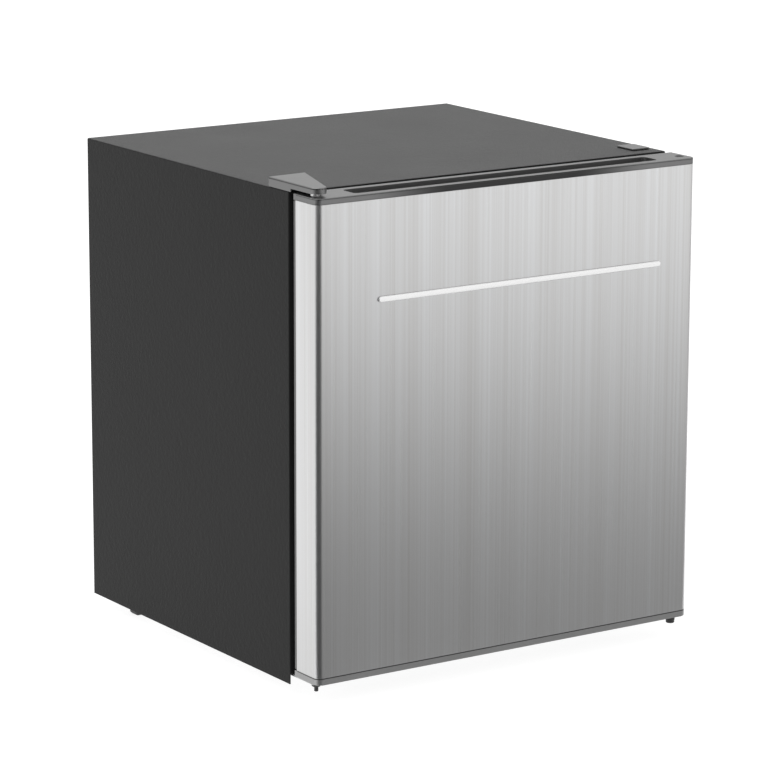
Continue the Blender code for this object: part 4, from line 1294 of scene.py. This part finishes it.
def makeCompressorFittings():
    middle = middleOf("compressor")
    work = bmesh.new()
    belt = []
    for x, y in circle(fittings["weldRadius"], 72):
        x *= fittings["weldStretch"]
        belt.append((middle.x + x, middle.y + y, fittings["weldHeight"]))
    addTube(work, belt, fittings["weldTube"], 8, closed=True)
    placeWork("compressorWeld", work, "cabinet", "black_paint")
    work = bmesh.new()
    root = Vector((middle.x - fittings["stubLeft"], middle.y, 0))
    addTube(work, [root + Vector(spot) for spot in fittings["stub"]], fittings["stubTube"], 12)
    low, high = [root + Vector(spot) for spot in fittings["pinched"]]
    addBar(work, low, high, 0.0005)
    placeWork("chargingStub", work, "cabinet", "copper")


panelScrews = {
    "headRadius": 0.0038,
    "headHeight": 0.0018,
    "slotWidth": 0.0009,
    "slotLength": 0.0040,
    "heights": [0.200, 0.345, 0.480],
    "fromEdge": 0.012,
    "bracketX": 0.120,
    "bracketSheet": 0.0015,
    "bracketEdge": 0.006,
}


def crossScrew(name, place):
    # a pan head that faces backwards, with a real cross recess
    radius, height = panelScrews["headRadius"], panelScrews["headHeight"]
    dome = [(radius, 0.0)]
    for k in range(5):
        angle = math.pi / 2 * k / 5
        dome.append((radius * math.cos(angle) ** 0.6, height * math.sin(angle)))
    dome.append((radius * 0.25, height))
    work = bmesh.new()
    addTurned(work, dome, place, (0, 1, 0), 20)
    piece = placeWork(name, work, "cabinet", "zinc_steel")
    turn = turnTo((0, 1, 0))
    long, wide = panelScrews["slotLength"] / 2, panelScrews["slotWidth"] / 2
    plan = [(long, wide), (wide, wide), (wide, long), (-wide, long), (-wide, wide), (-long, wide)]
    plan += [(-x, -y) for x, y in plan]
    cutter = bmesh.new()
    loops = []
    for level in (height * 0.35, height * 1.5):
        loops.append([Vector(place) + turn @ Vector((x, y, level)) for x, y in plan])
    addRows(cutter, loops)
    tool = linked(name + "Recess", meshFrom(name + "Recess", cutter))
    recess = piece.modifiers.new("recess", "BOOLEAN")
    recess.operation = "DIFFERENCE"
    recess.object = tool
    recess.solver = "EXACT"
    bakeShape(piece)
    bpy.data.objects.remove(tool, do_unlink=True)


def bakeShape(piece):
    # keeps the shape that the modifiers give and drops the modifiers
    bpy.context.view_layer.update()
    finished = piece.evaluated_get(bpy.context.evaluated_depsgraph_get())
    shape = bpy.data.meshes.new_from_object(finished)
    piece.modifiers.clear()
    piece.data = shape
    shape.set_sharp_from_angle(angle=math.radians(35))


def makePanelScrews():
    low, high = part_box("back_panel")
    inset = panelScrews["fromEdge"]
    places = []
    for z in panelScrews["heights"]:
        places += [(low.x + inset, high.y, z), (high.x - inset, high.y, z)]
    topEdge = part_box("condenser_bracket_top")[1].z - panelScrews["bracketEdge"]
    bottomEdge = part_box("condenser_bracket_bottom")[0].z + panelScrews["bracketEdge"]
    for z in (topEdge, bottomEdge):
        for side in (-1, 1):
            x = side * panelScrews["bracketX"]
            places.append((x, high.y + panelScrews["bracketSheet"], z))
    for k, place in enumerate(places):
        crossScrew(f"panelScrew_{k + 1}", place)


makeWires()
for end in ("front", "rear"):
    for hand in ("left", "right"):
        makeBolt(f"mountBolt_{end}_{hand}", f"compressor_bolt_{end}_{hand}")
makeCompressorFittings()
makePanelScrews()
print("back made")


# levelling feet
foot = {
    "lobes": 12,
    "lobeDepth": 0.05,
    "padHeight": 0.0042,
    "stemRadius": 0.0030,
    "threadDepth": 0.0004,
    "pitch": 0.0012,
    # (share of a turn, share of the depth) along each thread
    "thread": [(0.0, 1.0), (0.35, 0.0), (0.6, 0.0)],
}


def lobedLoop(centre, radius, z, wave=0.0):
    loop = []
    sides = foot["lobes"] * 4
    for k in range(sides):
        angle = 2 * math.pi * k / sides
        dip = 0.5 - 0.5 * math.cos(angle * foot["lobes"])
        reach = radius * (1 - foot["lobeDepth"] * wave * dip)
        loop.append((centre.x + reach * math.cos(angle), centre.y + reach * math.sin(angle), z))
    return loop


def makeFoot(name, node):
    low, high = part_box(node)
    middle = middleOf(node)
    outer = (high.x - low.x) / 2
    pad, stem = foot["padHeight"], foot["stemRadius"]
    loops = []
    for radius, z, wave in (
        (outer * 0.80, 0.0, 0.0),
        (outer * 0.90, 0.0006, 0.0),
        (outer, 0.0010, 1.0),
        (outer, pad - 0.0012, 1.0),
        (outer * 0.92, pad - 0.0004, 0.5),
        (stem * 1.15, pad, 0.0),
    ):
        loops.append(lobedLoop(middle, radius, z, wave))
    z = pad + 0.0004
    while z < high.z - foot["pitch"]:
        for share, depth in foot["thread"]:
            radius = stem - foot["threadDepth"] * depth
            loops.append(lobedLoop(middle, radius, z + foot["pitch"] * share))
        z += foot["pitch"]
    work = bmesh.new()
    addRows(work, loops)
    piece = placeWork(name, work, node, "black_plastic")
    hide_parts(node)


makeFoot("levelFootLeft", "front_foot_left")
makeFoot("levelFootRight", "front_foot_right")
print("feet made")
